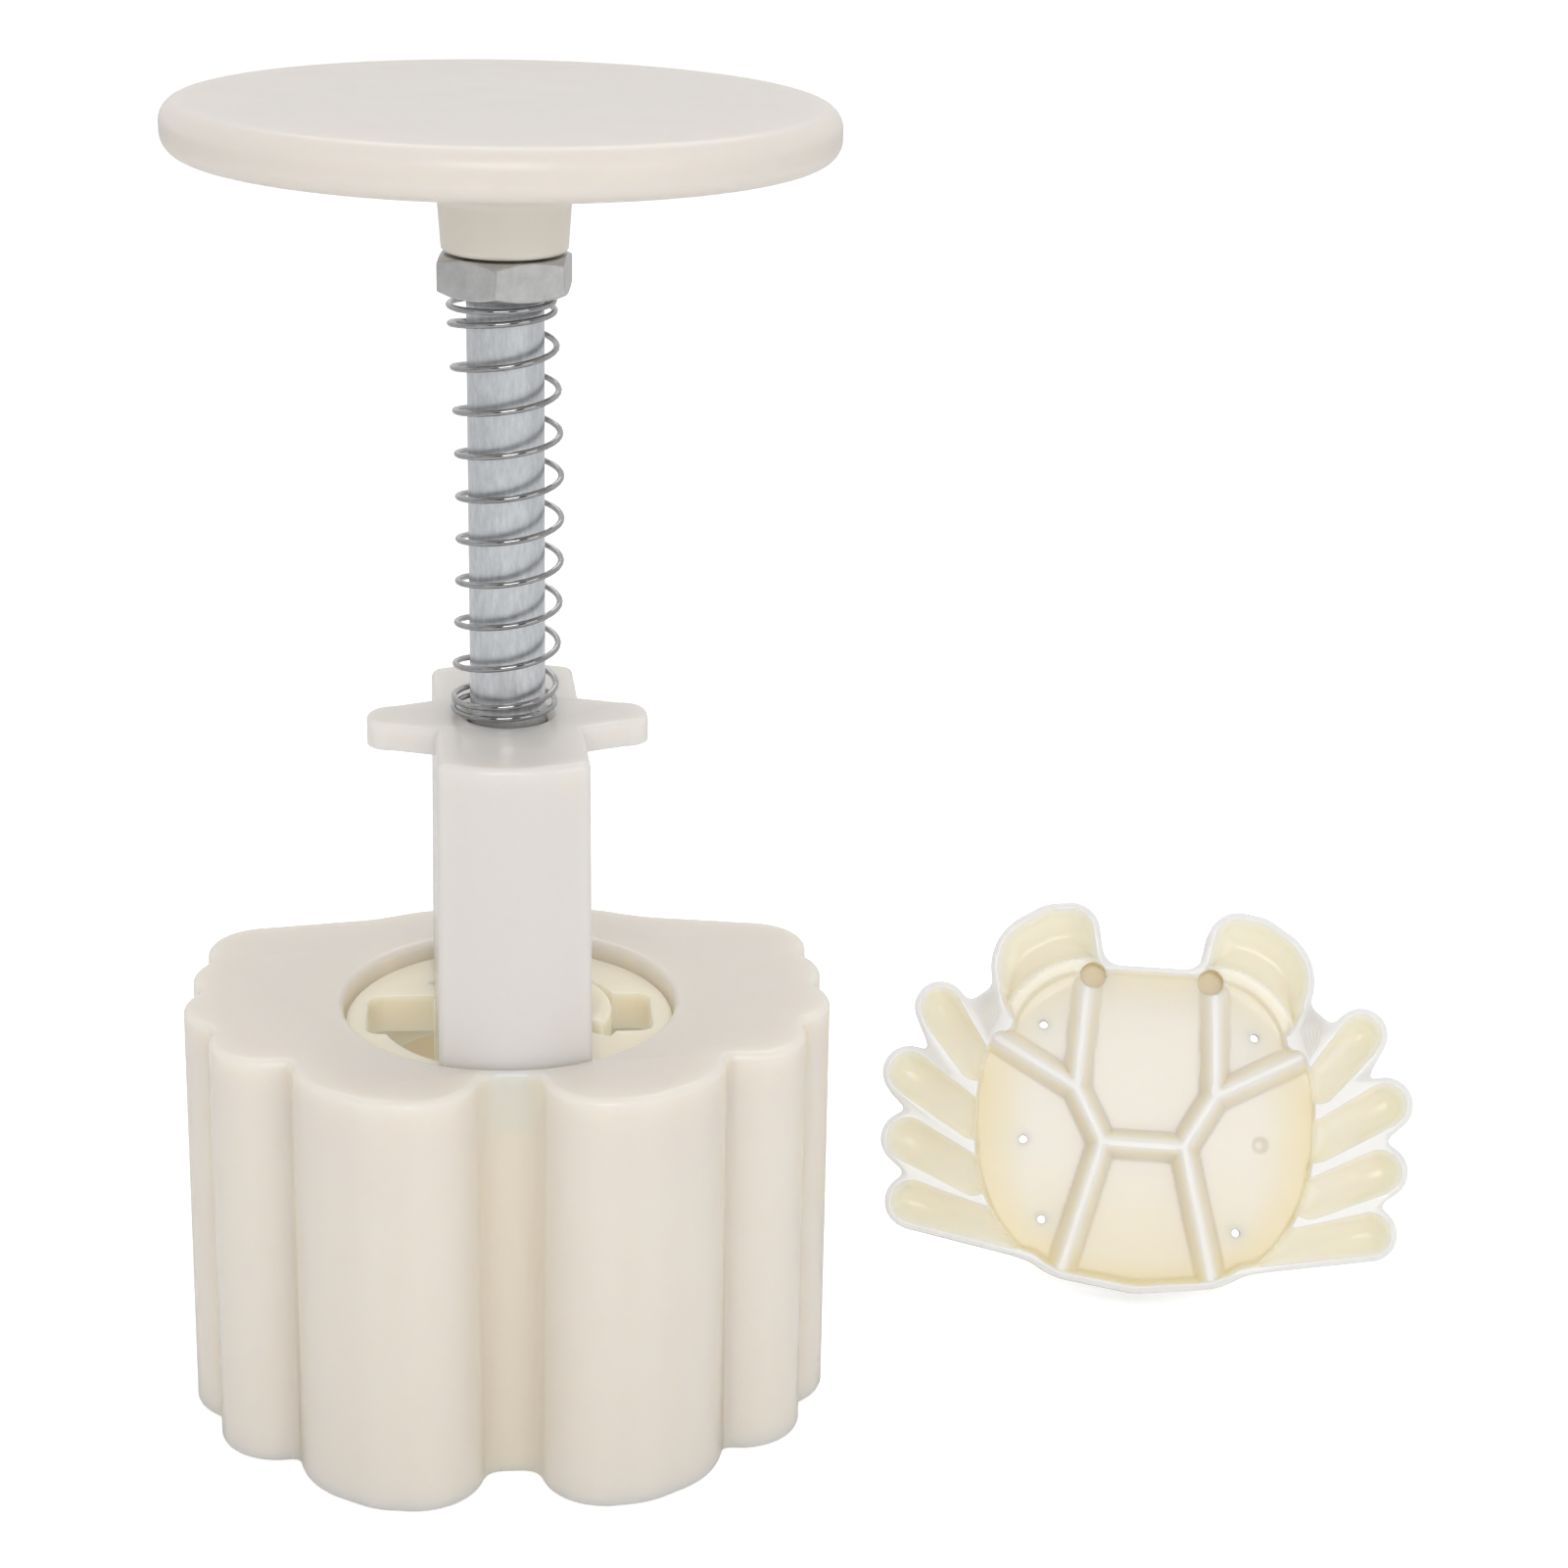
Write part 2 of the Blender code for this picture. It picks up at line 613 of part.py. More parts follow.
def make_knob(axis):
    """Palm disc on a conical underside, with a boss that takes the rod."""
    rim_foot = KNOB_TOP - KNOB_RIM
    edge_radius = KNOB_RADIUS - KNOB_EDGE
    profile = [(0.0, KNOB_TOP)]
    profile += edge_arc(edge_radius, KNOB_TOP - KNOB_EDGE, KNOB_EDGE, 90.0, 0.0, 4)
    profile += edge_arc(edge_radius, rim_foot + KNOB_EDGE, KNOB_EDGE, 0.0, -78.0, 4)
    profile += [
        (FLARE_RADIUS, FLARE_HEIGHT),
        (BOSS_TOP_RADIUS + 0.5 * MM, FLARE_HEIGHT - 0.5 * MM),
        (BOSS_TOP_RADIUS, FLARE_HEIGHT - 1.3 * MM),
        (BOSS_FOOT_RADIUS, BOSS_FOOT + 0.3 * MM),
        (BOSS_FOOT_RADIUS - 0.3 * MM, BOSS_FOOT),
        (INSERT_RADIUS + GAP, BOSS_FOOT),
        (INSERT_RADIUS + GAP, KNOB_INSERT_TOP + GAP),
        (0.0, KNOB_INSERT_TOP + GAP),
    ]
    knob = place_mesh("knob", lathe(profile, 72), finish_material("knob_plastic", IVORY, 0.28, 0.0))
    knob.parent = axis
    return knob


def make_knob_insert(axis):
    """Brass insert inside the boss, with two retaining grooves."""
    groove = INSERT_RADIUS - 0.5 * MM
    foot = KNOB_INSERT_FOOT
    bore = ROD_RADIUS + GAP
    profile = [
        (bore, foot), (INSERT_RADIUS, foot), (INSERT_RADIUS, foot + 2.0 * MM),
        (groove, foot + 2.6 * MM), (groove, foot + 3.8 * MM), (INSERT_RADIUS, foot + 4.4 * MM),
        (INSERT_RADIUS, KNOB_INSERT_TOP), (bore, KNOB_INSERT_TOP),
    ]
    insert = place_mesh("knob_insert", lathe(profile, 40), finish_material("knob_brass", BRASS, 0.35, 1.0))
    insert.parent = axis
    return insert


def scoop(path, steps_round=12):
    """A worm of circles along a path of x, y and radius in millimetres, centred on the stamp's face."""
    mesh = bmesh.new()
    stations = cap_stations(path)
    rings = []
    for x, y, radius, direction in stations:
        side = Vector((-direction.y, direction.x, 0.0))
        ring = []
        for index in range(steps_round):
            angle = 2.0 * math.pi * (index + 0.5) / steps_round
            offset = side * math.cos(angle) * radius + Vector((0.0, 0.0, math.sin(angle) * radius))
            ring.append(mesh.verts.new((Vector((x, y, SCOOP_HEIGHT)) + offset) * MM))
        rings.append(ring)
    for first, second in zip(rings, rings[1:]):
        for index in range(steps_round):
            after = (index + 1) % steps_round
            mesh.faces.new((first[index], first[after], second[after], second[index]))
    mesh.faces.new(rings[0])
    mesh.faces.new(list(reversed(rings[-1])))
    return mesh


def cap_stations(path):
    """Adds shrinking circles at both ends of a path, so that its ends are round."""
    points = [Vector((x, y)) for x, y, _ in path]
    radii = [radius for _, _, radius in path]
    start = (points[1] - points[0]).normalized()
    end = (points[-1] - points[-2]).normalized()
    stations = []
    for angle in (80, 50, 22):
        turn = math.radians(angle)
        place = points[0] - start * radii[0] * math.sin(turn)
        stations.append((place.x, place.y, radii[0] * math.cos(turn), start))
    for index, (point, radius) in enumerate(zip(points, radii)):
        before = points[max(0, index - 1)]
        after = points[min(len(points) - 1, index + 1)]
        stations.append((point.x, point.y, radius, (after - before).normalized()))
    for angle in (22, 50, 80):
        turn = math.radians(angle)
        place = points[-1] + end * radii[-1] * math.sin(turn)
        stations.append((place.x, place.y, radii[-1] * math.cos(turn), end))
    return stations


def pocket(points, depth):
    """A panel cutter with sloping walls, from above the face down to its floor."""
    mesh = prism([(x * MM, y * MM) for x, y in points], -0.6 * MM, depth)
    middle = sum((Vector((x, y)) for x, y in points), Vector((0.0, 0.0))) / len(points) * MM
    floor = [vertex for vertex in mesh.verts if vertex.co.z > depth / 2.0]
    inset = PANEL_SLOPE * depth
    for vertex in floor:
        inward = (middle - vertex.co.xy).normalized()
        vertex.co.xy += inward * inset
    round_edges(mesh, top_edges(mesh, depth), 0.9 * MM, 2)
    return mesh


def leg_scoop(leg):
    """The teardrop inside one leg, a rim's width inside its edge."""
    root_x, root_y, _, tip_x, tip_y, tip_radius = leg
    tip = Vector((tip_x, tip_y))
    root = tip + (Vector((root_x, root_y)) - tip).normalized() * LEG_SCOOP_LENGTH
    width = tip_radius - RIM_WIDTH
    return [(root.x, root.y, 1.5), (tip.x, tip.y, width)]


CLAW_SCOOP = (
    (10.2, -19.6, 2.7), (12.2, -17.9, 3.6), (14.6, -15.4, 3.4), (16.4, -12.6, 2.6), (17.6, -9.6, 1.2),
)
CENTRE_PANEL = (
    (-5.0, -15.2), (5.0, -15.2), (6.8, -12.4), (7.5, -1.5), (4.2, 4.6), (-4.2, 4.6), (-7.5, -1.5), (-6.8, -12.4),
)
FOOT_PANEL = ((-4.1, 6.7), (4.1, 6.7), (8.1, 20.4), (4.4, 22.2), (-4.4, 22.2), (-8.1, 20.4))
SHOULDER_PANEL = ((9.4, -13.2), (12.2, -13.0), (14.6, -11.4), (16.6, -8.9), (17.3, -7.2), (9.9, -3.0))
SIDE_PANEL = (
    (18.4, -4.9), (9.7, 0.1), (6.4, 6.1), (10.4, 20.2), (13.4, 18.9),
    (16.4, 15.8), (18.5, 11.6), (19.6, 6.6), (19.9, 1.6), (19.5, -2.6),
)
VENTS = ((12.9, -8.3), (11.8, 15.5), (-12.9, -8.3), (-11.8, 15.5), (-14.6, 5.9))
EYE = (7.2, -14.7)


def mirror_points(points):
    """The same outline on the crab's other side."""
    return [(-x, y) for x, y in reversed(points)]


def stand_frame():
    """The empty that stands the stamp on its belly edge and the end of its stem."""
    belly = settle(0.0, 24.0, 0.0)[1] * MM
    lean = math.atan2(belly - STEM_RADIUS, STEM_END - STAMP_THICKNESS)
    lift = belly * math.cos(lean) + STAMP_THICKNESS * math.sin(lean)
    stand = make_empty("stamp_stand", (STAND_X, STAND_Y, lift))
    stand.rotation_euler = (-(math.pi / 2.0 + lean), 0.0, STAND_TURN)
    return stand


def make_stamp(stand):
    """Crab plate with its scooped relief, eyes and vents, on a long stem."""
    mesh = prism(crab_outline(0.0), 0.0, STAMP_THICKNESS)
    stamp = place_mesh("stamp", mesh, finish_material("stamp_plastic", CREAM, 0.25, 0.0))
    stamp.parent = stand
    stem = lathe([
        (0.0, STAMP_THICKNESS - 1.0 * MM),
        (STEM_ROOT_RADIUS, STAMP_THICKNESS - 1.0 * MM),
        (STEM_ROOT_RADIUS, STAMP_THICKNESS + 0.3 * MM),
        (STEM_RADIUS, STAMP_THICKNESS + STEM_ROOT_HEIGHT),
        (STEM_RADIUS, STEM_END),
        (0.0, STEM_END),
    ], 48)
    boolean(stamp, stem, "UNION", "stem_guide")
    seat = rod_profile(INSERT_RADIUS + GAP, STEM_END - STAMP_INSERT_DEPTH, STEM_END + MM)
    boolean(stamp, lathe(seat, 40), "DIFFERENCE", "insert_seat_cutter")
    for side, turn in (("right", 1.0), ("left", -1.0)):
        for number, leg in enumerate(LEGS, start=1):
            path = [(x * turn, y, radius) for x, y, radius in leg_scoop(leg)]
            boolean(stamp, scoop(path, 10), "DIFFERENCE", f"leg_scoop_{side}_{number}")
        path = [(x * turn, y, radius) for x, y, radius in CLAW_SCOOP]
        boolean(stamp, scoop(path, 12), "DIFFERENCE", f"claw_scoop_{side}")
        shoulder = SHOULDER_PANEL if turn > 0.0 else mirror_points(SHOULDER_PANEL)
        boolean(stamp, pocket(shoulder, PANEL_DEPTH), "DIFFERENCE", f"shoulder_panel_{side}")
        panel = SIDE_PANEL if turn > 0.0 else mirror_points(SIDE_PANEL)
        boolean(stamp, pocket(panel, PANEL_DEPTH), "DIFFERENCE", f"side_panel_{side}")
        eye = lathe(rod_profile(EYE_RADIUS, -MM, EYE_DEPTH), 20)
        bmesh.ops.translate(eye, vec=(turn * EYE[0] * MM, EYE[1] * MM, 0.0), verts=eye.verts)
        boolean(stamp, eye, "DIFFERENCE", f"eye_{side}")
    boolean(stamp, pocket(CENTRE_PANEL, PANEL_DEPTH), "DIFFERENCE", "centre_panel")
    boolean(stamp, pocket(FOOT_PANEL, PANEL_DEPTH), "DIFFERENCE", "foot_panel")
    for number, (x, y) in enumerate(VENTS, start=1):
        vent = lathe(rod_profile(VENT_RADIUS, -MM, STAMP_THICKNESS + 2.0 * MM), 10)
        bmesh.ops.translate(vent, vec=(x * MM, y * MM, 0.0), verts=vent.verts)
        boolean(stamp, vent, "DIFFERENCE", f"vent_{number}")
    return stamp


def make_stamp_insert(stand):
    """Brass insert in the end of the stem, bored for the rod's thread."""
    foot = STEM_END - STAMP_INSERT_DEPTH + GAP
    top = STEM_END - GAP
    groove = INSERT_RADIUS - 0.5 * MM
    profile = [
        (STAMP_THREAD_BORE, foot), (INSERT_RADIUS, foot), (INSERT_RADIUS, foot + 3.0 * MM),
        (groove, foot + 3.6 * MM), (groove, foot + 5.6 * MM), (INSERT_RADIUS, foot + 6.2 * MM),
        (INSERT_RADIUS, top), (STAMP_THREAD_BORE + 0.5 * MM, top), (STAMP_THREAD_BORE, top - 0.5 * MM),
    ]
    insert = place_mesh("stamp_insert", lathe(profile, 40), finish_material("stamp_brass", BRASS, 0.35, 1.0))
    insert.parent = stand
    return insert


def main():
    start_empty()
    barrel_axis = make_empty("barrel_axis", (PRESS_X, PRESS_Y, 0.0))
    twist_axis = make_empty("twist_axis", (PRESS_X, PRESS_Y, 0.0), TOWER_TURN)
    press_axis = make_empty("press_axis", (PRESS_X, PRESS_Y, 0.0))
    make_barrel(barrel_axis)
    make_lock_ring(barrel_axis)
    make_tower(twist_axis)
    make_spring(press_axis)
    make_rod(press_axis)
    make_clip(press_axis)
    make_nut(press_axis)
    make_knob(press_axis)
    make_knob_insert(press_axis)
    stand = stand_frame()
    make_stamp(stand)
    make_stamp_insert(stand)
    bpy.context.view_layer.update()


main()
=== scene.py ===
# %% [markdown]
# A mooncake mould as a lesson in Blender. The press has a crab shaped barrel, a guide tower, a sprung
# plunger with a palm disc, and a loose crab stamp that stands beside it.
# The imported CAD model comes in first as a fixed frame. Every piece made here rides on one of its bodies.

# %% Load the frame
import math

import bmesh
import bpy
from mathutils import Matrix, Vector


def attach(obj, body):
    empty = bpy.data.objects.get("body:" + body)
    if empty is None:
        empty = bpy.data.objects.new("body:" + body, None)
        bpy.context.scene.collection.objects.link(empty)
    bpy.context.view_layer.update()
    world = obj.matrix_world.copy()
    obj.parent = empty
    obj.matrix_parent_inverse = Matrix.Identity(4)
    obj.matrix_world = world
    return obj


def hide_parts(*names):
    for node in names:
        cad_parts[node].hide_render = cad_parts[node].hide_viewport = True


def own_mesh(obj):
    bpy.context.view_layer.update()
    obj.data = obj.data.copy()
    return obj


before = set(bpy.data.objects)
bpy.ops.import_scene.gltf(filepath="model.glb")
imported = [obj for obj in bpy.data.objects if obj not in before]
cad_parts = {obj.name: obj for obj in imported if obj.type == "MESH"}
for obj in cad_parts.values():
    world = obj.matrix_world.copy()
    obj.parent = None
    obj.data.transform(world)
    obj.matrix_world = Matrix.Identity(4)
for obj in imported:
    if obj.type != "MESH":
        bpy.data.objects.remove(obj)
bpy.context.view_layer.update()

MM = 0.001
PRESS = Vector((-0.03731, -0.01171, 0.0))


def add_object(name, data):
    """Puts a new object into the scene."""
    item = bpy.data.objects.new(name, data)
    bpy.context.scene.collection.objects.link(item)
    return item


# %% [markdown]
# The camera could be set by eye, but a photograph fixes it better. The lens, the distance and the tilt
# below were worked out from edges of the object whose real places are known, such as the rim of the disc
# and the round opening. The camera stands 36 cm from the foot of the press and looks down by 20 degrees.

# %% Camera
LENS_MM = 70.09
SENSOR_MM = 36.0
YAW = math.radians(5.55)
PITCH = math.radians(20.08)
ROLL = math.radians(1.52)
CAMERA_FROM_PRESS = Vector((-0.0003, -0.311, 0.1876))


def look_matrix(place):
    """A camera matrix that looks along +Y, turned by yaw, tilted down by pitch and rolled."""
    turn = Matrix.Rotation(-YAW, 4, "Z")
    tilt = Matrix.Rotation(math.pi / 2.0 - PITCH, 4, "X")
    return Matrix.Translation(place) @ turn @ tilt @ Matrix.Rotation(ROLL, 4, "Z")


lens = bpy.data.cameras.new("photo_camera")
lens.lens = LENS_MM
lens.sensor_width = SENSOR_MM
lens.clip_start = 0.01
camera = add_object("photo_camera", lens)
camera.matrix_world = look_matrix(PRESS + CAMERA_FROM_PRESS)
bpy.context.scene.camera = camera
print("camera at", [round(value, 4) for value in camera.matrix_world.translation])

# %% Helpers for nodes


def node(tree, kind, **values):
    """Adds a node and sets its properties."""
    made = tree.nodes.new(kind)
    for name, value in values.items():
        setattr(made, name, value)
    return made


def join(tree, source, target):
    """Links an output to an input."""
    tree.links.new(source, target)


def preset(item, values):
    """Sets the inputs of a node by their names."""
    for name, value in values.items():
        item.inputs[name].default_value = value


def remap(tree, value, source, target=(0.0, 1.0)):
    """Stretches a value from one range to another."""
    made = node(tree, "ShaderNodeMapRange")
    preset(made, {"From Min": source[0], "From Max": source[1], "To Min": target[0], "To Max": target[1]})
    join(tree, value, made.inputs["Value"])
    return made.outputs["Result"]


def times(tree, value, factor):
    """Multiplies a value by a number."""
    made = node(tree, "ShaderNodeMath", operation="MULTIPLY")
    made.inputs[1].default_value = factor
    join(tree, value, made.inputs[0])
    return made.outputs["Value"]


def new_material(name):
    """A material with its node tree and its shader."""
    material = bpy.data.materials.new(name)
    material.use_nodes = True
    return material, material.node_tree, material.node_tree.nodes["Principled BSDF"]


# %% [markdown]
# The photograph has a white ground and wide soft light. A small bright lamp would burn hard spots into
# the glossy plastic, so large area lamps and a pale world do the work, at a level where a colour renders
# about as it is written. What the camera sees of the world is white. What glossy surfaces mirror has a
# darker side behind the camera, as in a studio, because metal with only white around it looks like chalk.

# %% World
LIT_LEVEL = 0.60
SEEN_LEVEL = 1.0
MIRRORED_LEVEL = 0.85
TENT_TINT = (1.0, 0.995, 0.985, 1.0)
STUDIO_DARK = (0.05, 0.05, 0.055, 1.0)
STUDIO_LIGHT = (1.0, 1.0, 1.0, 1.0)
STUDIO_LIGHT_FROM = 0.56

bpy.context.scene.view_settings.view_transform = "Standard"
world = bpy.data.worlds.new("soft_tent")
bpy.context.scene.world = world
world.use_nodes = True
tent = world.node_tree
tent.nodes.clear()
rays = node(tent, "ShaderNodeLightPath")


def background(strength):
    """A plain background of one strength."""
    made = node(tent, "ShaderNodeBackground")
    preset(made, {"Color": TENT_TINT, "Strength": strength})
    return made


def show_to(ray, others, chosen):
    """Shows one shader to one kind of ray and another one to all the rest."""
    made = node(tent, "ShaderNodeMixShader")
    join(tent, rays.outputs[ray], made.inputs["Fac"])
    join(tent, others, made.inputs[1])
    join(tent, chosen, made.inputs[2])
    return made.outputs["Shader"]


direction = node(tent, "ShaderNodeTexCoord")
split = node(tent, "ShaderNodeSeparateXYZ")
join(tent, direction.outputs["Generated"], split.inputs["Vector"])
studio = node(tent, "ShaderNodeValToRGB")
studio.color_ramp.elements[0].position = 0.0
studio.color_ramp.elements[0].color = STUDIO_DARK
studio.color_ramp.elements[1].position = STUDIO_LIGHT_FROM
studio.color_ramp.elements[1].color = STUDIO_LIGHT
join(tent, remap(tent, split.outputs["Y"], (-1.0, 1.0)), studio.inputs["Fac"])
mirrored = background(MIRRORED_LEVEL)
join(tent, studio.outputs["Color"], mirrored.inputs["Color"])
lit = background(LIT_LEVEL)
seen = background(SEEN_LEVEL)
for_glossy = show_to("Is Glossy Ray", lit.outputs["Background"], mirrored.outputs["Background"])
for_camera = show_to("Is Camera Ray", for_glossy, seen.outputs["Background"])
tent_output = node(tent, "ShaderNodeOutputWorld")
join(tent, for_camera, tent_output.inputs["Surface"])
print("tent seen at", SEEN_LEVEL, "lighting at", LIT_LEVEL, "mirrored at", MIRRORED_LEVEL)

# %% Floor
FLOOR_DROP = 0.0002
FLOOR_SIZE = 3.0
PAPER_LIFT = 0.50

floor_mesh = bmesh.new()
bmesh.ops.create_grid(floor_mesh, x_segments=1, y_segments=1, size=FLOOR_SIZE)
floor_data = bpy.data.meshes.new("table")
floor_mesh.to_mesh(floor_data)
floor_mesh.free()
floor = add_object("table", floor_data)
floor.location = (0.0, 0.0, -FLOOR_DROP)
paper, sheet, sheet_shader = new_material("white_paper")
preset(sheet_shader, {
    "Base Color": (0.9, 0.9, 0.9, 1.0),
    "Roughness": 0.9,
    "Specular IOR Level": 0.0,
    "Emission Color": (1.0, 1.0, 1.0, 1.0),
})
sheet_rays = node(sheet, "ShaderNodeLightPath")
paper_lift = times(sheet, sheet_rays.outputs["Is Camera Ray"], PAPER_LIFT)
join(sheet, paper_lift, sheet_shader.inputs["Emission Strength"])
floor_data.materials.append(paper)
print("a sheet of white paper", 2.0 * FLOOR_SIZE, "m wide lies under the object")

# %% Lamps


def soft_box(name, place, target, size, watts):
    """An area lamp of a width and a height that faces a point."""
    lamp = bpy.data.lights.new(name, "AREA")
    lamp.shape = "RECTANGLE"
    lamp.size = size[0]
    lamp.size_y = size[1]
    lamp.energy = watts
    item = add_object(name, lamp)
    aim = (Vector(target) - Vector(place)).to_track_quat("-Z", "Y")
    item.matrix_world = Matrix.Translation(place) @ aim.to_matrix().to_4x4()


soft_box("key_box", (-0.07, -0.71, 0.49), (0.0, 0.0, 0.05), (0.42, 0.28), 1.9)
soft_box("right_box", (0.50, -0.55, 0.30), (0.0, 0.0, 0.06), (0.35, 0.35), 0.6)
soft_box("left_box", (-0.55, -0.50, 0.30), (0.0, 0.0, 0.06), (0.35, 0.35), 0.2)
soft_box("top_box", (0.0, 0.40, 0.68), (0.0, 0.0, 0.06), (0.50, 0.50), 1.1)
print("four lamps and a tent of strength", LIT_LEVEL)

# %% [markdown]
# The crab outline is shared by the barrel and the stamp. It could be traced as a long list of points, but
# a maker would draw it as limbs: tapered capsules that melt into each other with small fillets. The
# distance to such a union is a short formula, and the outline at any offset is where it has one value.

# %% The crab's limbs, in millimetres from the press axis
TRUNK = (
    (0.0, -6.5, 9.6, 8.3, -6.5, 9.6),
    (7.1, 3.2, 11.8, 10.6, 3.2, 11.8),
    (0.0, 14.2, 9.4, 6.9, 13.3, 9.4),
)
CLAW = (
    (12.8, -15.3, 7.0, 11.7, -17.9, 5.4),
    (11.7, -17.9, 5.4, 10.3, -19.8, 3.7),
)
SHOULDER = (17.6, -7.5, 5.0, 17.8, -7.5, 5.0)
LEGS = (
    (20.3, -1.8, 4.7, 25.7, -9.5, 3.2),
    (22.0, 3.6, 4.7, 29.0, -1.2, 3.3),
    (21.8, 10.5, 4.7, 28.7, 6.9, 3.3),
    (14.0, 15.9, 4.3, 27.7, 14.5, 3.3),
)
CLAW_FILLET = 2.1
SHOULDER_FILLET = 1.7
LEG_FILLET = 1.4
NEAR_BELLY_EDGE = 24.0


def limb_distance(x, y, limb):
    """Exact distance to a tapered capsule, negative inside."""
    root_x, root_y, root_radius, tip_x, tip_y, tip_radius = limb
    run_x = tip_x - root_x
    run_y = tip_y - root_y
    length = math.hypot(run_x, run_y)
    along = ((x - root_x) * run_x + (y - root_y) * run_y) / length
    across = abs((y - root_y) * run_x - (x - root_x) * run_y) / length
    taper = (root_radius - tip_radius) / length
    lean = math.sqrt(1.0 - taper * taper)
    reach = lean * along - taper * across
    if reach < 0.0:
        return math.hypot(across, along) - root_radius
    if reach > lean * length:
        return math.hypot(across, along - length) - tip_radius
    return lean * across + taper * along - root_radius


def fillet_union(first, second, fillet):
    """Union of two distances, with a fillet where they meet."""
    mix = min(1.0, max(0.0, 0.5 + 0.5 * (second - first) / fillet))
    return second * (1.0 - mix) + first * mix - fillet * mix * (1.0 - mix)


def crab_distance(x, y):
    """Distance to the crab outline in millimetres, negative inside."""
    x = abs(x)
    value = min(limb_distance(x, y, limb) for limb in TRUNK)
    value = fillet_union(value, min(limb_distance(x, y, limb) for limb in CLAW), CLAW_FILLET)
    value = fillet_union(value, limb_distance(x, y, SHOULDER), SHOULDER_FILLET)
    for leg in LEGS:
        value = fillet_union(value, limb_distance(x, y, leg), LEG_FILLET)
    return value


def crab_slope(x, y):
    """Direction in which the distance grows."""
    reach = 0.01
    return ((crab_distance(x + reach, y) - crab_distance(x - reach, y)) / (2.0 * reach),
            (crab_distance(x, y + reach) - crab_distance(x, y - reach)) / (2.0 * reach))


def settle(x, y, level):
    """Moves a point along the slope until it lies at the given distance."""
    for _ in range(5):
        slope_x, slope_y = crab_slope(x, y)
        error = (crab_distance(x, y) - level) / (slope_x ** 2 + slope_y ** 2)
        x -= slope_x * error
        y -= slope_y * error
    return x, y


def crab_outline(level, chord=0.008, step=0.22):
    """Walks round half the outline, keeps the points that matter and mirrors them."""
    x, y = settle(0.0, NEAR_BELLY_EDGE + level, level)
    walked = [(0.0, y)]
    while len(walked) < 3 or x > 0.0:
        slope_x, slope_y = crab_slope(x, y)
        size = math.hypot(slope_x, slope_y)
        x, y = settle(x + step * slope_y / size, y - step * slope_x / size, level)
        walked.append((x, y))
    walked[-1] = (0.0, walked[-2][1])
    kept = [walked[0]]
    first = 0
    for last in range(2, len(walked)):
        start = Vector(walked[first])
        run = Vector(walked[last]) - start
        bow = max(abs(run.cross(Vector(point) - start)) for point in walked[first + 1:last])
        if bow > chord * run.length:
            first = last - 1
            kept.append(walked[first])
    kept.append(walked[-1])
    mirrored_half = [(-px, py) for px, py in reversed(kept[1:-1])]
    return [(px * MM, py * MM) for px, py in kept + mirrored_half]


print("outline points", len(crab_outline(0.0)))

# %% [markdown]
# A few helpers cover most of the making: an upright prism over an outline, a turned shape, a rounded edge
# and a Boolean whose result is kept. A turned shape could be made of stacked cylinders, but a spun
# profile keeps its edges where the drawing has them.

# %% Helpers that shape a mesh


def extrude(mesh, faces):
    """Extrudes faces and returns the points that this adds."""
    made = bmesh.ops.extrude_face_region(mesh, geom=faces)["geom"]
    return [part for part in made if isinstance(part, bmesh.types.BMVert)]


def prism(points, foot, top):
    """A closed upright solid over an outline."""
    mesh = bmesh.new()
    face = mesh.faces.new([mesh.verts.new((x, y, foot)) for x, y in points])
    raised = extrude(mesh, [face])
    bmesh.ops.translate(mesh, vec=(0.0, 0.0, top - foot), verts=raised)
    bmesh.ops.recalc_face_normals(mesh, faces=mesh.faces)
    return mesh


def lathe(profile, segments):
    """Turns a closed profile of radius and height about the Z axis."""
    mesh = bmesh.new()
    ring = [mesh.verts.new((radius, 0.0, height)) for radius, height in profile]
    edges = [mesh.edges.new(pair) for pair in zip(ring, ring[1:] + ring[:1])]
    bmesh.ops.spin(mesh, geom=ring + edges, cent=(0, 0, 0), axis=(0, 0, 1), dvec=(0, 0, 0),
                   angle=2.0 * math.pi, steps=segments, use_merge=True, use_duplicate=False)
    bmesh.ops.remove_doubles(mesh, verts=mesh.verts, dist=1e-6)
    bmesh.ops.recalc_face_normals(mesh, faces=mesh.faces)
    return mesh


def rod_profile(radius, foot, top):
    """The profile of a plain cylinder."""
    return [(0.0, foot), (radius, foot), (radius, top), (0.0, top)]


def round_edges(mesh, edges, width, segments):
    """Rounds edges with the bevel operator."""
    bmesh.ops.bevel(mesh, geom=edges, offset=width, offset_type="OFFSET", segments=segments,
                    profile=0.5, affect="EDGES", clamp_overlap=True, material=-1)


def edges_at(mesh, height):
    """The edges that lie wholly at a height."""
    return [edge for edge in mesh.edges if all(abs(v.co.z - height) < 1e-6 for v in edge.verts)]


def upright_edges(mesh):
    """The edges that run up and down."""
    return [edge for edge in mesh.edges if abs(edge.verts[0].co.z - edge.verts[1].co.z) > MM]


def arc(radius, start, end, steps, centre=(0.0, 0.0)):
    """Points on an arc, both ends included."""
    angles = [start + (end - start) * step / steps for step in range(steps + 1)]
    return [(centre[0] + radius * math.cos(a), centre[1] + radius * math.sin(a)) for a in angles]


def ease(value, low, high):
    """Rises smoothly from nothing to one between two values."""
    share = min(1.0, max(0.0, (value - low) / (high - low)))
    return share * share * (3.0 - 2.0 * share)


# %% Helpers that make, cut and place a piece


def make_piece(name, mesh):
    """An object from a bmesh."""
    data = bpy.data.meshes.new(name)
    mesh.to_mesh(data)
    mesh.free()
    return add_object(name, data)


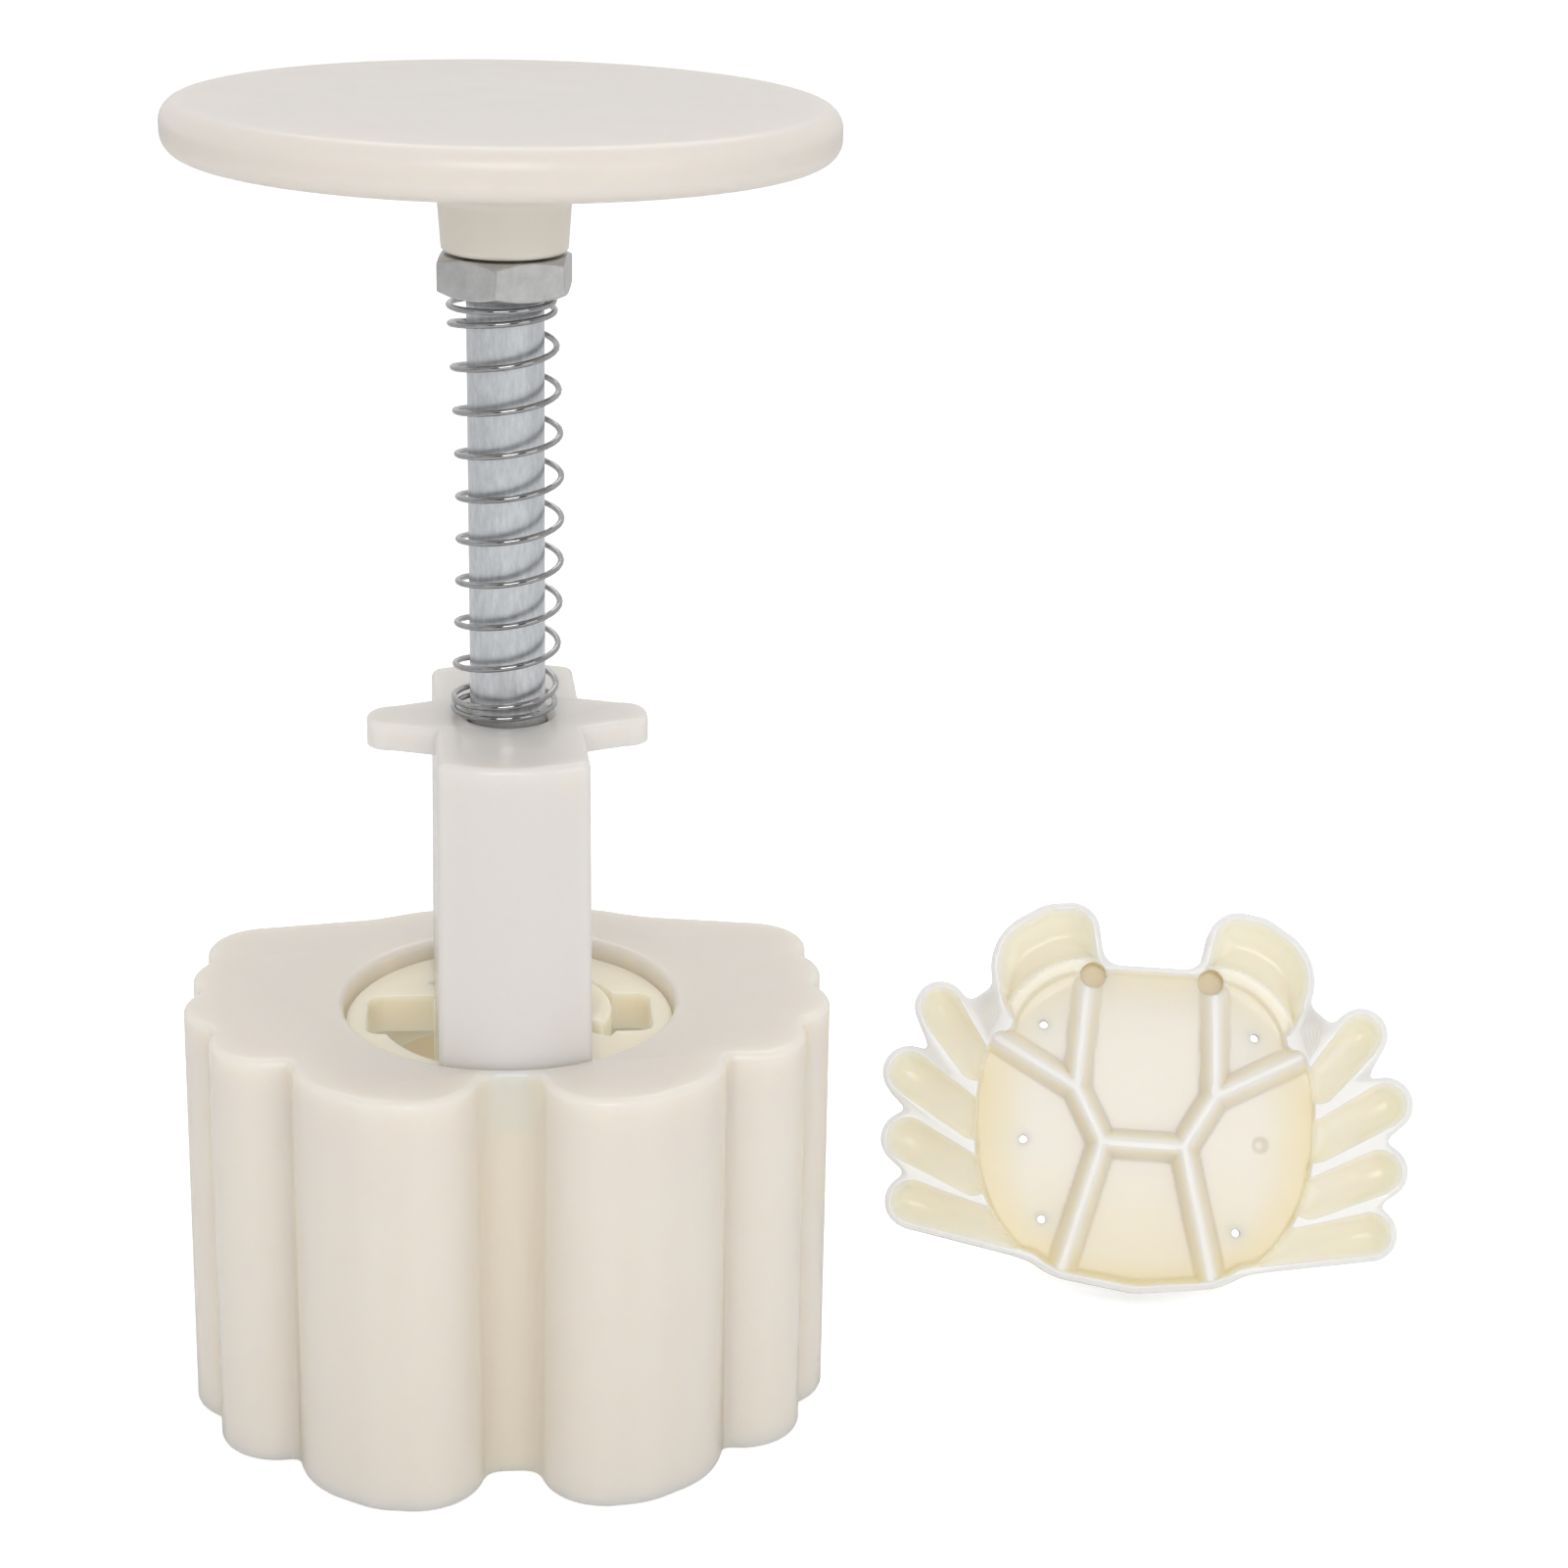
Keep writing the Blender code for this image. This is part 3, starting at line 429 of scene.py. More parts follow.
def combine(item, mesh, operation):
    """Adds, removes or keeps the overlap of a second solid, and keeps the result."""
    tool = make_piece("tool", mesh)
    step = item.modifiers.new("combine", "BOOLEAN")
    step.operation = operation
    step.solver = "EXACT"
    step.object = tool
    graph = bpy.context.evaluated_depsgraph_get()
    result = bpy.data.meshes.new_from_object(item.evaluated_get(graph))
    item.modifiers.clear()
    item.data = result
    bpy.data.objects.remove(tool, do_unlink=True)


def soften(item, width, degrees):
    """Rounds all edges sharper than an angle with a modifier."""
    worn = item.modifiers.new("worn_edges", "BEVEL")
    worn.width = width
    worn.segments = 2
    worn.limit_method = "ANGLE"
    worn.angle_limit = math.radians(degrees)


def smooth(item, degrees=32.0):
    """Shades a piece smooth except over sharp edges."""
    item.data.shade_smooth()
    item.data.set_sharp_from_angle(angle=math.radians(degrees))


def mark_points(item, name, share_at):
    """Stores a number at every point: glow for painted light that stands in for light from inside, scatter
    for how far light sinks in.
    """
    stored = item.data.attributes.new(name, "FLOAT", "POINT")
    for vertex in item.data.vertices:
        stored.data[vertex.index].value = share_at(vertex.co / MM)


def seat(item, matrix, body, *nodes):
    """Puts a piece in its place in the mesh, lets it ride on a body and stand for CAD nodes."""
    item.data.transform(matrix)
    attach(item, body)
    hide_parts(*nodes)
    print(item.name, "has", sum(len(face.vertices) - 2 for face in item.data.polygons), "triangles")


ON_PRESS = Matrix.Translation(PRESS)

# %% [markdown]
# The barrel is a sleeve with the crab's outline inside and out. The wall could come from a Solidify
# modifier, but the outer skin has a slight draft and the bore has none, so each gets its own offset of
# the outline. The round opening on top has a rounded lip, a seat for the ring and a ledge under it.

# %% Barrel
BARREL_HEIGHT = 48.5 * MM
WALL_FOOT = 3.6
WALL_TOP = 3.25
BORE_CLEARANCE = 0.3
CHAMBER_DEPTH = 38.0 * MM
OPENING_FOOT = 36.0 * MM
OPENING_RADIUS = 18.3 * MM
LEDGE_RADIUS = 15.9 * MM
LEDGE_TOP = 41.8 * MM
LIP = 0.9 * MM

shell = prism(crab_outline(WALL_FOOT), 0.0, BARREL_HEIGHT)
for vertex in shell.verts:
    if vertex.co.z > BARREL_HEIGHT / 2.0:
        x, y = settle(vertex.co.x / MM, vertex.co.y / MM, WALL_TOP)
        vertex.co.x = x * MM
        vertex.co.y = y * MM
round_edges(shell, edges_at(shell, BARREL_HEIGHT), 2.0 * MM, 6)
round_edges(shell, edges_at(shell, 0.0), 0.35 * MM, 2)
barrel = make_piece("barrel_shell", shell)
combine(barrel, prism(crab_outline(BORE_CLEARANCE), -1.0 * MM, CHAMBER_DEPTH), "DIFFERENCE")
combine(barrel, lathe([
    (0.0, OPENING_FOOT),
    (LEDGE_RADIUS, OPENING_FOOT),
    (LEDGE_RADIUS, LEDGE_TOP),
    (OPENING_RADIUS, LEDGE_TOP),
    *arc(LIP, math.pi, math.pi / 2.0, 5, (OPENING_RADIUS + LIP, BARREL_HEIGHT - LIP)),
    (OPENING_RADIUS + LIP, BARREL_HEIGHT + 1.0 * MM),
    (0.0, BARREL_HEIGHT + 1.0 * MM),
], 180), "DIFFERENCE")
smooth(barrel)

# %% Painted light inside the barrel
INNER_SKIN = 0.6
INNER_TOP = 47.5
GROOVES_TOP = 48.0
FRONT_GLOW = 0.32
GROOVE_GLOW = 0.3


def barrel_glow(point):
    """Share of painted light: full on the inner faces, faint in the outer grooves and over the whole width
    of the front one.
    """
    off_axis = math.hypot(point.x, point.y)
    if crab_distance(point.x, point.y) < INNER_SKIN and point.z < INNER_TOP and off_axis > 15.0:
        return 1.0
    if point.z > GROOVES_TOP:
        return 0.0
    limbs = TRUNK + CLAW[1:] + (SHOULDER,) + LEGS
    gaps = sorted(limb_distance(abs(point.x), point.y, limb) for limb in limbs)
    in_groove = 1.0 - ease(gaps[1] - gaps[0], 0.0, 2.5)
    before_rear = 1.0 - ease(point.y, 17.0, 20.0)
    in_front = 1.0 - ease(abs(point.x), 2.5, 4.5) if point.y < 0.0 else 0.0
    return max(FRONT_GLOW * in_front, GROOVE_GLOW * in_groove * before_rear)


mark_points(barrel, "glow", barrel_glow)
seat(barrel, ON_PRESS, "barrel", "barrel")

# %% [markdown]
# The ring lies in the opening on the ledge. Its hole is a keyway: two arms let the lugs of the tower
# pass, a wide pocket lets its cam turn, and a third pocket eases the front left. Each pocket is one cut.

# %% Lock ring
RING_FOOT = 42.1 * MM
RING_TOP = 46.5 * MM
RING_RADIUS = 18.0 * MM
RING_CHAMFER = 0.3 * MM
RING_BORE = 9.0 * MM
ARMS_SIZE = (31.6 * MM, 10.2 * MM, 0.01)
ARMS_MIDDLE = 0.044
BELOW = RING_FOOT - 1.0 * MM
ABOVE = RING_TOP + 1.0 * MM


def sector(radius, start, end, steps):
    """A pie slice through the ring."""
    outline = [(0.0, 0.0)] + arc(radius, math.radians(start), math.radians(end), steps)
    return prism(outline, BELOW, ABOVE)


ring = make_piece("ring_insert", lathe([
    (0.0, RING_FOOT),
    (RING_RADIUS, RING_FOOT),
    (RING_RADIUS, RING_TOP - RING_CHAMFER),
    (RING_RADIUS - RING_CHAMFER, RING_TOP),
    (0.0, RING_TOP),
], 144))
arms = bmesh.new()
bmesh.ops.create_cube(arms, size=1.0)
bmesh.ops.scale(arms, vec=ARMS_SIZE, verts=arms.verts)
bmesh.ops.translate(arms, vec=(0.0, 0.0, ARMS_MIDDLE), verts=arms.verts)
round_edges(arms, upright_edges(arms), 1.6 * MM, 6)
combine(ring, arms, "DIFFERENCE")
combine(ring, lathe(rod_profile(RING_BORE, BELOW, ABOVE), 96), "DIFFERENCE")
combine(ring, sector(12.7 * MM, -31.0, 137.0, 60), "DIFFERENCE")
combine(ring, sector(14.4 * MM, 195.0, 262.0, 30), "DIFFERENCE")
soften(ring, 0.25 * MM, 50)
smooth(ring)
# Painted light: the whole ring glows a little and is painted warmer.
mark_points(ring, "glow", lambda point: 1.0)
seat(ring, ON_PRESS, "barrel", "lock_ring")

# %% [markdown]
# The guide tower is a slab with round ends that fills the opening when it turns. Two wings lie across its
# top. Under the ring it has a neck, a cam and two lugs, so a quarter turn locks it. The slab and the
# wings are rounded first and then united, because a bevel over a finished union tangles where edges meet.

# %% Guide tower
TOWER_TURN = Matrix.Rotation(math.radians(2.2), 4, "Z")
TOWER_FOOT = 38.3 * MM
TOWER_TOP = 81.7 * MM
SLAB_FOOT = 46.8 * MM
SLAB_RADIUS = 18.0 * MM
SLAB_HALF_FOOT = 8.15 * MM
SLAB_HALF_TOP = 7.85 * MM
WING_THICKNESS = 2.8 * MM
WING_CORNER = 2.7 * MM
WING_CORNER_X = 12.3 * MM
WING_CORNER_Y = 0.8 * MM
WING_ROOT_X = 6.8 * MM
WING_ROOT_Y = 5.6 * MM
NECK_RADIUS = 8.4 * MM
CAM_START = (-1.0 * MM, 0.3 * MM)
CAM_RADIUS = 11.3 * MM
CAM_FOOT = 42.6 * MM
CAM_TOP = 47.4 * MM
LUG_HALF = 4.0 * MM
LUG_REACH = 15.3 * MM
LUG_FOOT = 38.5 * MM
LUG_TOP = 41.6 * MM
CHAMBER_RADIUS = 6.6 * MM
CHAMBER_TOP = 63.4 * MM
ROD_BORE = 4.3 * MM


def slab_outline(half_width, radius, steps):
    """A strip across a circle: flat sides and round ends."""
    lean = math.asin(half_width / radius)
    front = arc(radius, -math.pi / 2.0 - lean, -math.pi / 2.0 + lean, steps)
    rear = arc(radius, math.pi / 2.0 - lean, math.pi / 2.0 + lean, steps)
    return front + rear


slab = prism(slab_outline(SLAB_HALF_FOOT, SLAB_RADIUS, 16), SLAB_FOOT, TOWER_TOP)
for vertex in slab.verts:
    if vertex.co.z > (SLAB_FOOT + TOWER_TOP) / 2.0:
        vertex.co.x *= SLAB_HALF_TOP / SLAB_HALF_FOOT
corners = [edge for edge in upright_edges(slab) if abs(edge.verts[0].co.x) > 7.5 * MM]
round_edges(slab, corners + edges_at(slab, TOWER_TOP), 0.8 * MM, 5)
tower = make_piece("tower_body", slab)

right_wing = [(WING_ROOT_X, -WING_ROOT_Y)]
right_wing += arc(WING_CORNER, -math.pi / 2.0, 0.0, 8, (WING_CORNER_X, -WING_CORNER_Y))
right_wing += arc(WING_CORNER, 0.0, math.pi / 2.0, 8, (WING_CORNER_X, WING_CORNER_Y))
right_wing += [(WING_ROOT_X, WING_ROOT_Y)]
wings = prism(right_wing + [(-x, -y) for x, y in right_wing], TOWER_TOP - WING_THICKNESS, TOWER_TOP)
round_edges(wings, edges_at(wings, TOWER_TOP), 0.7 * MM, 4)
combine(tower, wings, "UNION")

# %% What locks the tower, and its bore
combine(tower, lathe(rod_profile(NECK_RADIUS, TOWER_FOOT, SLAB_FOOT + 1.0 * MM), 96), "UNION")
cam_outline = [CAM_START] + arc(CAM_RADIUS, math.radians(-28), math.radians(43), 28)
cam = prism(cam_outline, CAM_FOOT, CAM_TOP)
round_edges(cam, edges_at(cam, CAM_TOP), 1.0 * MM, 3)
combine(tower, cam, "UNION")
combine(tower, prism(slab_outline(LUG_HALF, LUG_REACH, 12), LUG_FOOT, LUG_TOP), "UNION")
combine(tower, lathe([
    (0.0, TOWER_FOOT - 1.0 * MM),
    (CHAMBER_RADIUS, TOWER_FOOT - 1.0 * MM),
    (CHAMBER_RADIUS, CHAMBER_TOP),
    (ROD_BORE, CHAMBER_TOP),
    (ROD_BORE, TOWER_TOP - 0.8 * MM),
    (ROD_BORE + 1.0 * MM, TOWER_TOP + 0.2 * MM),
    (0.0, TOWER_TOP + 0.2 * MM),
], 96), "DIFFERENCE")
smooth(tower)


def tower_glow(point):
    """Share of painted light, full on what lies in the opening: all below the slab, and the top of the cam
    beside it.
    """
    below_slab = point.z < 46.7
    top_of_cam = point.z < 48.0 and abs(point.x) > 8.3
    return 1.0 if below_slab or top_of_cam else 0.0


mark_points(tower, "glow", tower_glow)
seat(tower, ON_PRESS @ TOWER_TURN, "tower", "guide_tower")

# %% [markdown]
# The plunger is a zinc coated rod with a thin hexagon nut and the palm disc. The nut's faces end in a
# turned chamfer: the hexagon is cut by a spun dome, as a lathe cuts the real one.

# %% Rod
ROD_RADIUS = 4.0 * MM
ROD_FOOT = 48.8 * MM
ROD_TOP = 140.6 * MM
ROD_CHAMFER = 0.8 * MM
CLIP_GROOVE_RADIUS = 3.1 * MM
CLIP_GROOVE_FOOT = 61.6 * MM
CLIP_GROOVE_TOP = 63.0 * MM

rod = make_piece("steel_rod", lathe([
    (0.0, ROD_FOOT),
    (ROD_RADIUS - ROD_CHAMFER, ROD_FOOT),
    (ROD_RADIUS, ROD_FOOT + ROD_CHAMFER),
    (ROD_RADIUS, CLIP_GROOVE_FOOT),
    (CLIP_GROOVE_RADIUS, CLIP_GROOVE_FOOT),
    (CLIP_GROOVE_RADIUS, CLIP_GROOVE_TOP),
    (ROD_RADIUS, CLIP_GROOVE_TOP),
    (ROD_RADIUS, ROD_TOP - ROD_CHAMFER),
    (ROD_RADIUS - ROD_CHAMFER, ROD_TOP),
    (0.0, ROD_TOP),
], 96))
smooth(rod)
seat(rod, ON_PRESS, "plunger", "rod")

# %% Nut
NUT_FOOT = 127.1 * MM
NUT_TOP = 131.1 * MM
NUT_CORNER = 13.0 * MM / math.sqrt(3.0)
NUT_FACE = 6.4 * MM
DOME_REACH = 8.5 * MM
DOME_FALL = 1.05 * MM
HOLE_MOUTH = 5.3 * MM

hexagon = arc(NUT_CORNER, math.radians(-97), math.radians(203), 5)
nut = make_piece("thin_nut", prism(hexagon, NUT_FOOT, NUT_TOP))
combine(nut, lathe([
    (0.0, NUT_FOOT - MM),
    (NUT_FACE, NUT_FOOT - MM),
    (NUT_FACE, NUT_FOOT),
    (DOME_REACH, NUT_FOOT + DOME_FALL),
    (DOME_REACH, NUT_TOP - DOME_FALL),
    (NUT_FACE, NUT_TOP),
    (NUT_FACE, NUT_TOP + MM),
    (0.0, NUT_TOP + MM),
], 120), "INTERSECT")
combine(nut, lathe([
    (0.0, NUT_FOOT - MM),
    (HOLE_MOUTH, NUT_FOOT - MM),
    (ROD_BORE, NUT_FOOT + 0.5 * MM),
    (ROD_BORE, NUT_TOP - 0.5 * MM),
    (HOLE_MOUTH, NUT_TOP + MM),
    (0.0, NUT_TOP + MM),
], 96), "DIFFERENCE")
soften(nut, 0.12 * MM, 40)
smooth(nut, 25.0)
seat(nut, ON_PRESS, "plunger", "lock_nut")

# %% Clip
CLIP_OUTER = 6.1 * MM
CLIP_INNER = 3.4 * MM
CLIP_HALF_MOUTH = 2.3 * MM
CLIP_FOOT = 61.9 * MM
CLIP_TOP = 62.7 * MM

mouth_outer = math.asin(CLIP_HALF_MOUTH / CLIP_OUTER)
mouth_inner = math.asin(CLIP_HALF_MOUTH / CLIP_INNER)
clip_outline = arc(CLIP_OUTER, math.pi / 2 + mouth_outer, 2.5 * math.pi - mouth_outer, 64)
clip_outline += arc(CLIP_INNER, 2.5 * math.pi - mouth_inner, math.pi / 2 + mouth_inner, 48)
clip_mesh = prism(clip_outline, CLIP_FOOT, CLIP_TOP)
round_edges(clip_mesh, edges_at(clip_mesh, CLIP_FOOT) + edges_at(clip_mesh, CLIP_TOP), 0.1 * MM, 2)
clip = make_piece("spring_clip", clip_mesh)
smooth(clip)
seat(clip, ON_PRESS, "plunger", "retaining_clip")

# %% [markdown]
# The palm disc is turned: a flat top, a rounded rim, a conical underside and a boss. One profile holds
# all of it, and its rounded corners are short arcs. Light does not sink into the boss, whose thin wall
# lies over a brass insert.

# %% Palm disc
RIM_TOP = 146.5 * MM
RIM_THICKNESS = 5.2 * MM
RIM_EDGE = 2.1 * MM
RIM_EDGE_MIDDLE = 31.9 * MM
BOSS_FOOT = 131.4 * MM
BOSS_RADIUS = 6.5 * MM
BOSS_CHAMFER = 0.3 * MM
SEAT_RADIUS = 5.5 * MM
SEAT_TOP = 141.2 * MM
BOSS_TOP_MARK = 137.5
BOSS_PAINTED_LIGHT = 0.4

disc = make_piece("palm_disc", lathe([
    (0.0, RIM_TOP),
    *arc(RIM_EDGE, math.pi / 2.0, 0.0, 8, (RIM_EDGE_MIDDLE, RIM_TOP - RIM_EDGE)),
    *arc(RIM_EDGE, 0.0, math.radians(-78), 8, (RIM_EDGE_MIDDLE, RIM_TOP - RIM_THICKNESS + RIM_EDGE)),
    *arc(1.2 * MM, math.radians(99), math.radians(180), 5, (8.0 * MM, 136.0 * MM)),
    (BOSS_RADIUS, BOSS_FOOT + BOSS_CHAMFER),
    (BOSS_RADIUS - BOSS_CHAMFER, BOSS_FOOT),
    (SEAT_RADIUS, BOSS_FOOT),
    (SEAT_RADIUS, SEAT_TOP),
    (0.0, SEAT_TOP),
], 200))
smooth(disc)
# Painted light on the boss: it glows a little and is painted warmer, lifting the shade that the disc casts
# on it.
mark_points(disc, "glow", lambda point: BOSS_PAINTED_LIGHT if point.z < BOSS_TOP_MARK else 0.0)
mark_points(disc, "scatter", lambda point: 0.0 if point.z < BOSS_TOP_MARK else 1.0)
seat(disc, ON_PRESS, "plunger", "knob")

# %% [markdown]
# The spring is one wire. A Screw modifier would give even turns, but the real one is closed at both ends
# and open between, so the pitch is a function of the turn. It also bows a little to one side. It rides on
# the tower.

# %% The path of the wire
TURNS = 11.9
FOOT_TURNS = 1.2
HEAD_TURNS = 1.1
RAMP_TURNS = 0.6
PER_TURN = 32
CLOSED_PITCH = 1.08 * MM
WIRE_FOOT = 82.3 * MM
WIRE_HEAD = 126.5 * MM
WIRE_RISE = WIRE_HEAD - WIRE_FOOT
OPEN_TURNS = TURNS - FOOT_TURNS - HEAD_TURNS - RAMP_TURNS
OPEN_PITCH = CLOSED_PITCH + (WIRE_RISE - CLOSED_PITCH * TURNS) / OPEN_TURNS
COIL_RADIUS = 5.4 * MM
WIRE_RADIUS = 0.33 * MM
SPRING_LEAN = -0.4
SPRING_BOW = 0.75


def open_share(turn):
    """Nothing in the closed ends, one in the open middle, and smooth between."""
    from_foot = (turn - FOOT_TURNS) / RAMP_TURNS
    to_head = (TURNS - HEAD_TURNS - turn) / RAMP_TURNS
    return ease(min(from_foot, to_head), 0.0, 1.0)


wire_points = []
height = WIRE_FOOT
for index in range(round(TURNS * PER_TURN) + 1):
    turn = index / PER_TURN
    lift_share = min(1.0, max(0.0, (height - WIRE_FOOT) / WIRE_RISE))
    lean_x = (SPRING_LEAN + SPRING_BOW * math.sin(math.pi * lift_share)) * MM
    angle = math.radians(90) + 2.0 * math.pi * turn
    wire_points.append((lean_x + COIL_RADIUS * math.cos(angle), COIL_RADIUS * math.sin(angle), height))
    height += (CLOSED_PITCH + (OPEN_PITCH - CLOSED_PITCH) * open_share(turn + 0.5 / PER_TURN)) / PER_TURN
print("the wire has", len(wire_points), "points and an open pitch of", round(OPEN_PITCH / MM, 2), "mm")

# %% Spring
wire = bpy.data.curves.new("spring_wire", "CURVE")
wire.dimensions = "3D"
wire.bevel_depth = WIRE_RADIUS
wire.bevel_resolution = 3
wire.use_fill_caps = True
path = wire.splines.new("POLY")
path.points.add(len(wire_points) - 1)
for target, point in zip(path.points, wire_points):
    target.co = (*point, 1.0)
wire_object = add_object("spring_curve", wire)
wire_graph = bpy.context.evaluated_depsgraph_get()
wire_mesh = bpy.data.meshes.new_from_object(wire_object.evaluated_get(wire_graph))
spring = add_object("spring_wire", wire_mesh)
bpy.data.objects.remove(wire_object, do_unlink=True)
smooth(spring, 60.0)
seat(spring, ON_PRESS, "tower", "spring")
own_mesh(spring)

# %% [markdown]
# The stamp carries the relief. It could be assembled from carved panels, but the real one is milled with
# round cutters, so its hollow is a height field: a dish under the shell, ridges that stand in the dish
# almost up to the face, and a trough in each leg and claw. A depth below zero means that the face stays
# whole there.

# %% Heights of the relief, in millimetres into the plate
LEG_TROUGHS = (
    (20.9, -2.9, 2.2, 25.8, -9.4, 2.7),
    (20.8, 4.1, 2.4, 28.9, -1.1, 2.75),
    (20.4, 10.9, 2.4, 28.6, 7.0, 2.75),
    (15.5, 17.5, 2.1, 27.8, 14.6, 2.75),
)
RIDGES = (
    ((7.85, -13.0), (8.5, -0.8)),
    ((18.3, -6.1), (8.5, -0.8)),
    ((8.5, -0.8), (4.95, 5.6)),
    ((-4.95, 5.6), (4.95, 5.6)),
    ((4.95, 5.6), (9.2, 21.8)),
)
SHELL_HALF_X = 20.8
SHELL_HALF_Y = 20.5
SHELL_MIDDLE_Y = 3.0
SHELL_POWER = 2.4
DISH_MIDDLE_Y = 4.5
DISH_EDGE_DEPTH = 0.7
DISH_RISE = 1.4
RIDGE_TOP = 0.15
WALL_SLOPE = 2.2
DEEPEST_UNCUT = -0.6
CLAW_CENTRE = (7.36, -5.62)
SHOULDER_RADIUS = 9.8
FACET = ((17.8, -9.45), (19.7, -5.65), (19.7, -13.6))
FACET_RIM = 0.25
EYE = (7.2, -14.7)
DIMPLE = (14.2, 4.7)
DIMPLE_DEPTH = 0.15


def shell_inside(x, y):
    """About how far a point lies inside the oval of the crab's shell."""
    share = ((abs(x) / SHELL_HALF_X) ** SHELL_POWER
             + (abs(y - SHELL_MIDDLE_Y) / SHELL_HALF_Y) ** SHELL_POWER) ** (1.0 / SHELL_POWER)
    return math.hypot(x, y - SHELL_MIDDLE_Y) * (1.0 / share - 1.0) if share > 0.2 else 16.0


def side_of(x, y, start, end):
    """Distance from a line, positive on its left."""
    run = Vector(end) - Vector(start)
    return ((x - start[0]) * -run.y + (y - start[1]) * run.x) / run.length


def trough(inside, radius, depth):
    """Cross-section of a ball-nosed cut, with walls that lean a little."""
    if inside < 0.0:
        return max(DEEPEST_UNCUT, WALL_SLOPE * inside)
    reach = min(inside, radius)
    return min(WALL_SLOPE * inside, depth * math.sqrt(reach * (2.0 * radius - reach)) / radius)


def ridge_gap(x, y):
    """Distance to the middle of the nearest ridge."""
    return min(limb_distance(x, y, (*start, 0.0, *end, 0.0)) for start, end in RIDGES)


def ridge_share(gap):
    """One on top of a ridge, nothing on the floor: a rounded crest and a soft foot."""
    fall = min(1.0, max(0.0, (gap - 0.45) / 1.3))
    return 1.0 - fall ** 1.2


def claw_gap(x, y):
    """Distance outwards from the shoulder arc that parts the claw from the shell."""
    return math.hypot(x - CLAW_CENTRE[0], y - CLAW_CENTRE[1]) - SHOULDER_RADIUS


def dish_depth(x, y, inside):
    """The dish of the shell and the ridges that stand in it, almost up to the face."""
    shell_in = shell_inside(x, y)
    rim = 0.75 - 0.3 * ease(-y, 12.0, 15.0) * (1.0 - ease(x, 4.0, 6.0))
    to_rim = inside - rim if y < -8.0 or y > 14.0 else 9.0
    claw_side = 40.0 * max(ease(y, -7.5, -3.0), 1.0 - ease(x, 5.8, 7.0)) - claw_gap(x, y)
    border = min(to_rim, claw_side, side_of(x, y, FACET[0], FACET[1]) - FACET_RIM)
    edge = min(1.5 * border, WALL_SLOPE * (shell_in - 0.1))
    if edge < 0.0:
        return max(DEEPEST_UNCUT, edge)
    bowl = 1.0 - (x / SHELL_HALF_X) ** 2 - ((y - DISH_MIDDLE_Y) / SHELL_HALF_Y) ** 2
    floor_depth = DISH_EDGE_DEPTH + DISH_RISE * max(0.0, bowl)
    return min(edge, floor_depth - (floor_depth - RIDGE_TOP) * ridge_share(ridge_gap(x, y)))


def leg_depth(x, y, inside, shell_in):
    """The deepest of the four leg troughs, which deepen towards the tips."""
    deepest = DEEPEST_UNCUT
    for scoop in LEG_TROUGHS:
        root_x, root_y, _, tip_x, tip_y, _ = scoop
        length = math.hypot(tip_x - root_x, tip_y - root_y)
        along = ((x - root_x) * (tip_x - root_x) + (y - root_y) * (tip_y - root_y)) / length ** 2
        own = min(-limb_distance(x, y, scoop), inside - 0.65, 0.5 - shell_in)
        deepest = max(deepest, trough(own, 2.6, 1.2 + 1.3 * ease(along, 0.0, 1.0)))
    return deepest


def claw_depth(x, y, inside):
    """The trough of the claw and the shallow band between it and the shell."""
    past_facet = side_of(x, y, FACET[2], FACET[0])
    past_shoulder = claw_gap(x, y)
    in_claw = min(inside - 0.7, past_shoulder - 1.1, past_facet - FACET_RIM, -7.5 - y, x - 5.6)
    depth = trough(in_claw, 3.8, 2.7)
    if y < -8.5 and x > 6.5 and -0.6 < past_shoulder < 1.6:
        depth = max(depth, 0.4 * ease(min(inside, past_facet + 0.4), 0.7, 1.4))
    return depth


def relief(side_x, y):
    """Depth of the hollow at a point of the stamp's face."""
    x = abs(side_x)
    inside = -crab_distance(x, y)
    depth = dish_depth(x, y, inside)
    if side_x > 0.0:
        depth += DIMPLE_DEPTH * (1.0 - ease(math.hypot(x - DIMPLE[0], y - DIMPLE[1]), 0.5, 1.1))
    return max(depth, leg_depth(x, y, inside, shell_inside(x, y)), claw_depth(x, y, inside))


print("relief at the middle of the shell", round(relief(0.0, 0.0), 2), "mm")

# %% Cut the stamp
HALF_X = 33.0
HALF_Y = 25.5
CELL = 0.25
BEFORE_FACE = -2.0 * MM
PLATE = 8.0 * MM
STEM_RADIUS = 6.2 * MM
STEM_END = 39.0 * MM
EYE_RADIUS = 1.6 * MM
EYE_DEPTH = 2.6 * MM
VENTS = ((12.9, -8.3), (11.8, 15.5), (-12.9, -8.3), (-11.8, 15.5), (-14.6, 5.9))
VENT_RADIUS = 0.5 * MM
VENT_BACK_RADIUS = 1.3 * MM
VENT_END = 9.0 * MM

block = bmesh.new()
cells_x = round(2 * HALF_X / CELL)
cells_y = round(2 * HALF_Y / CELL)
bmesh.ops.create_grid(block, x_segments=cells_x, y_segments=cells_y, size=0.5)
bmesh.ops.scale(block, vec=(2.0 * HALF_X * MM, 2.0 * HALF_Y * MM, 1.0), verts=block.verts)
for vertex in block.verts:
    vertex.co.z = relief(vertex.co.x / MM, vertex.co.y / MM) * MM
for vertex in extrude(block, list(block.faces)):
    vertex.co.z = -3.0 * MM
bmesh.ops.recalc_face_normals(block, faces=block.faces)

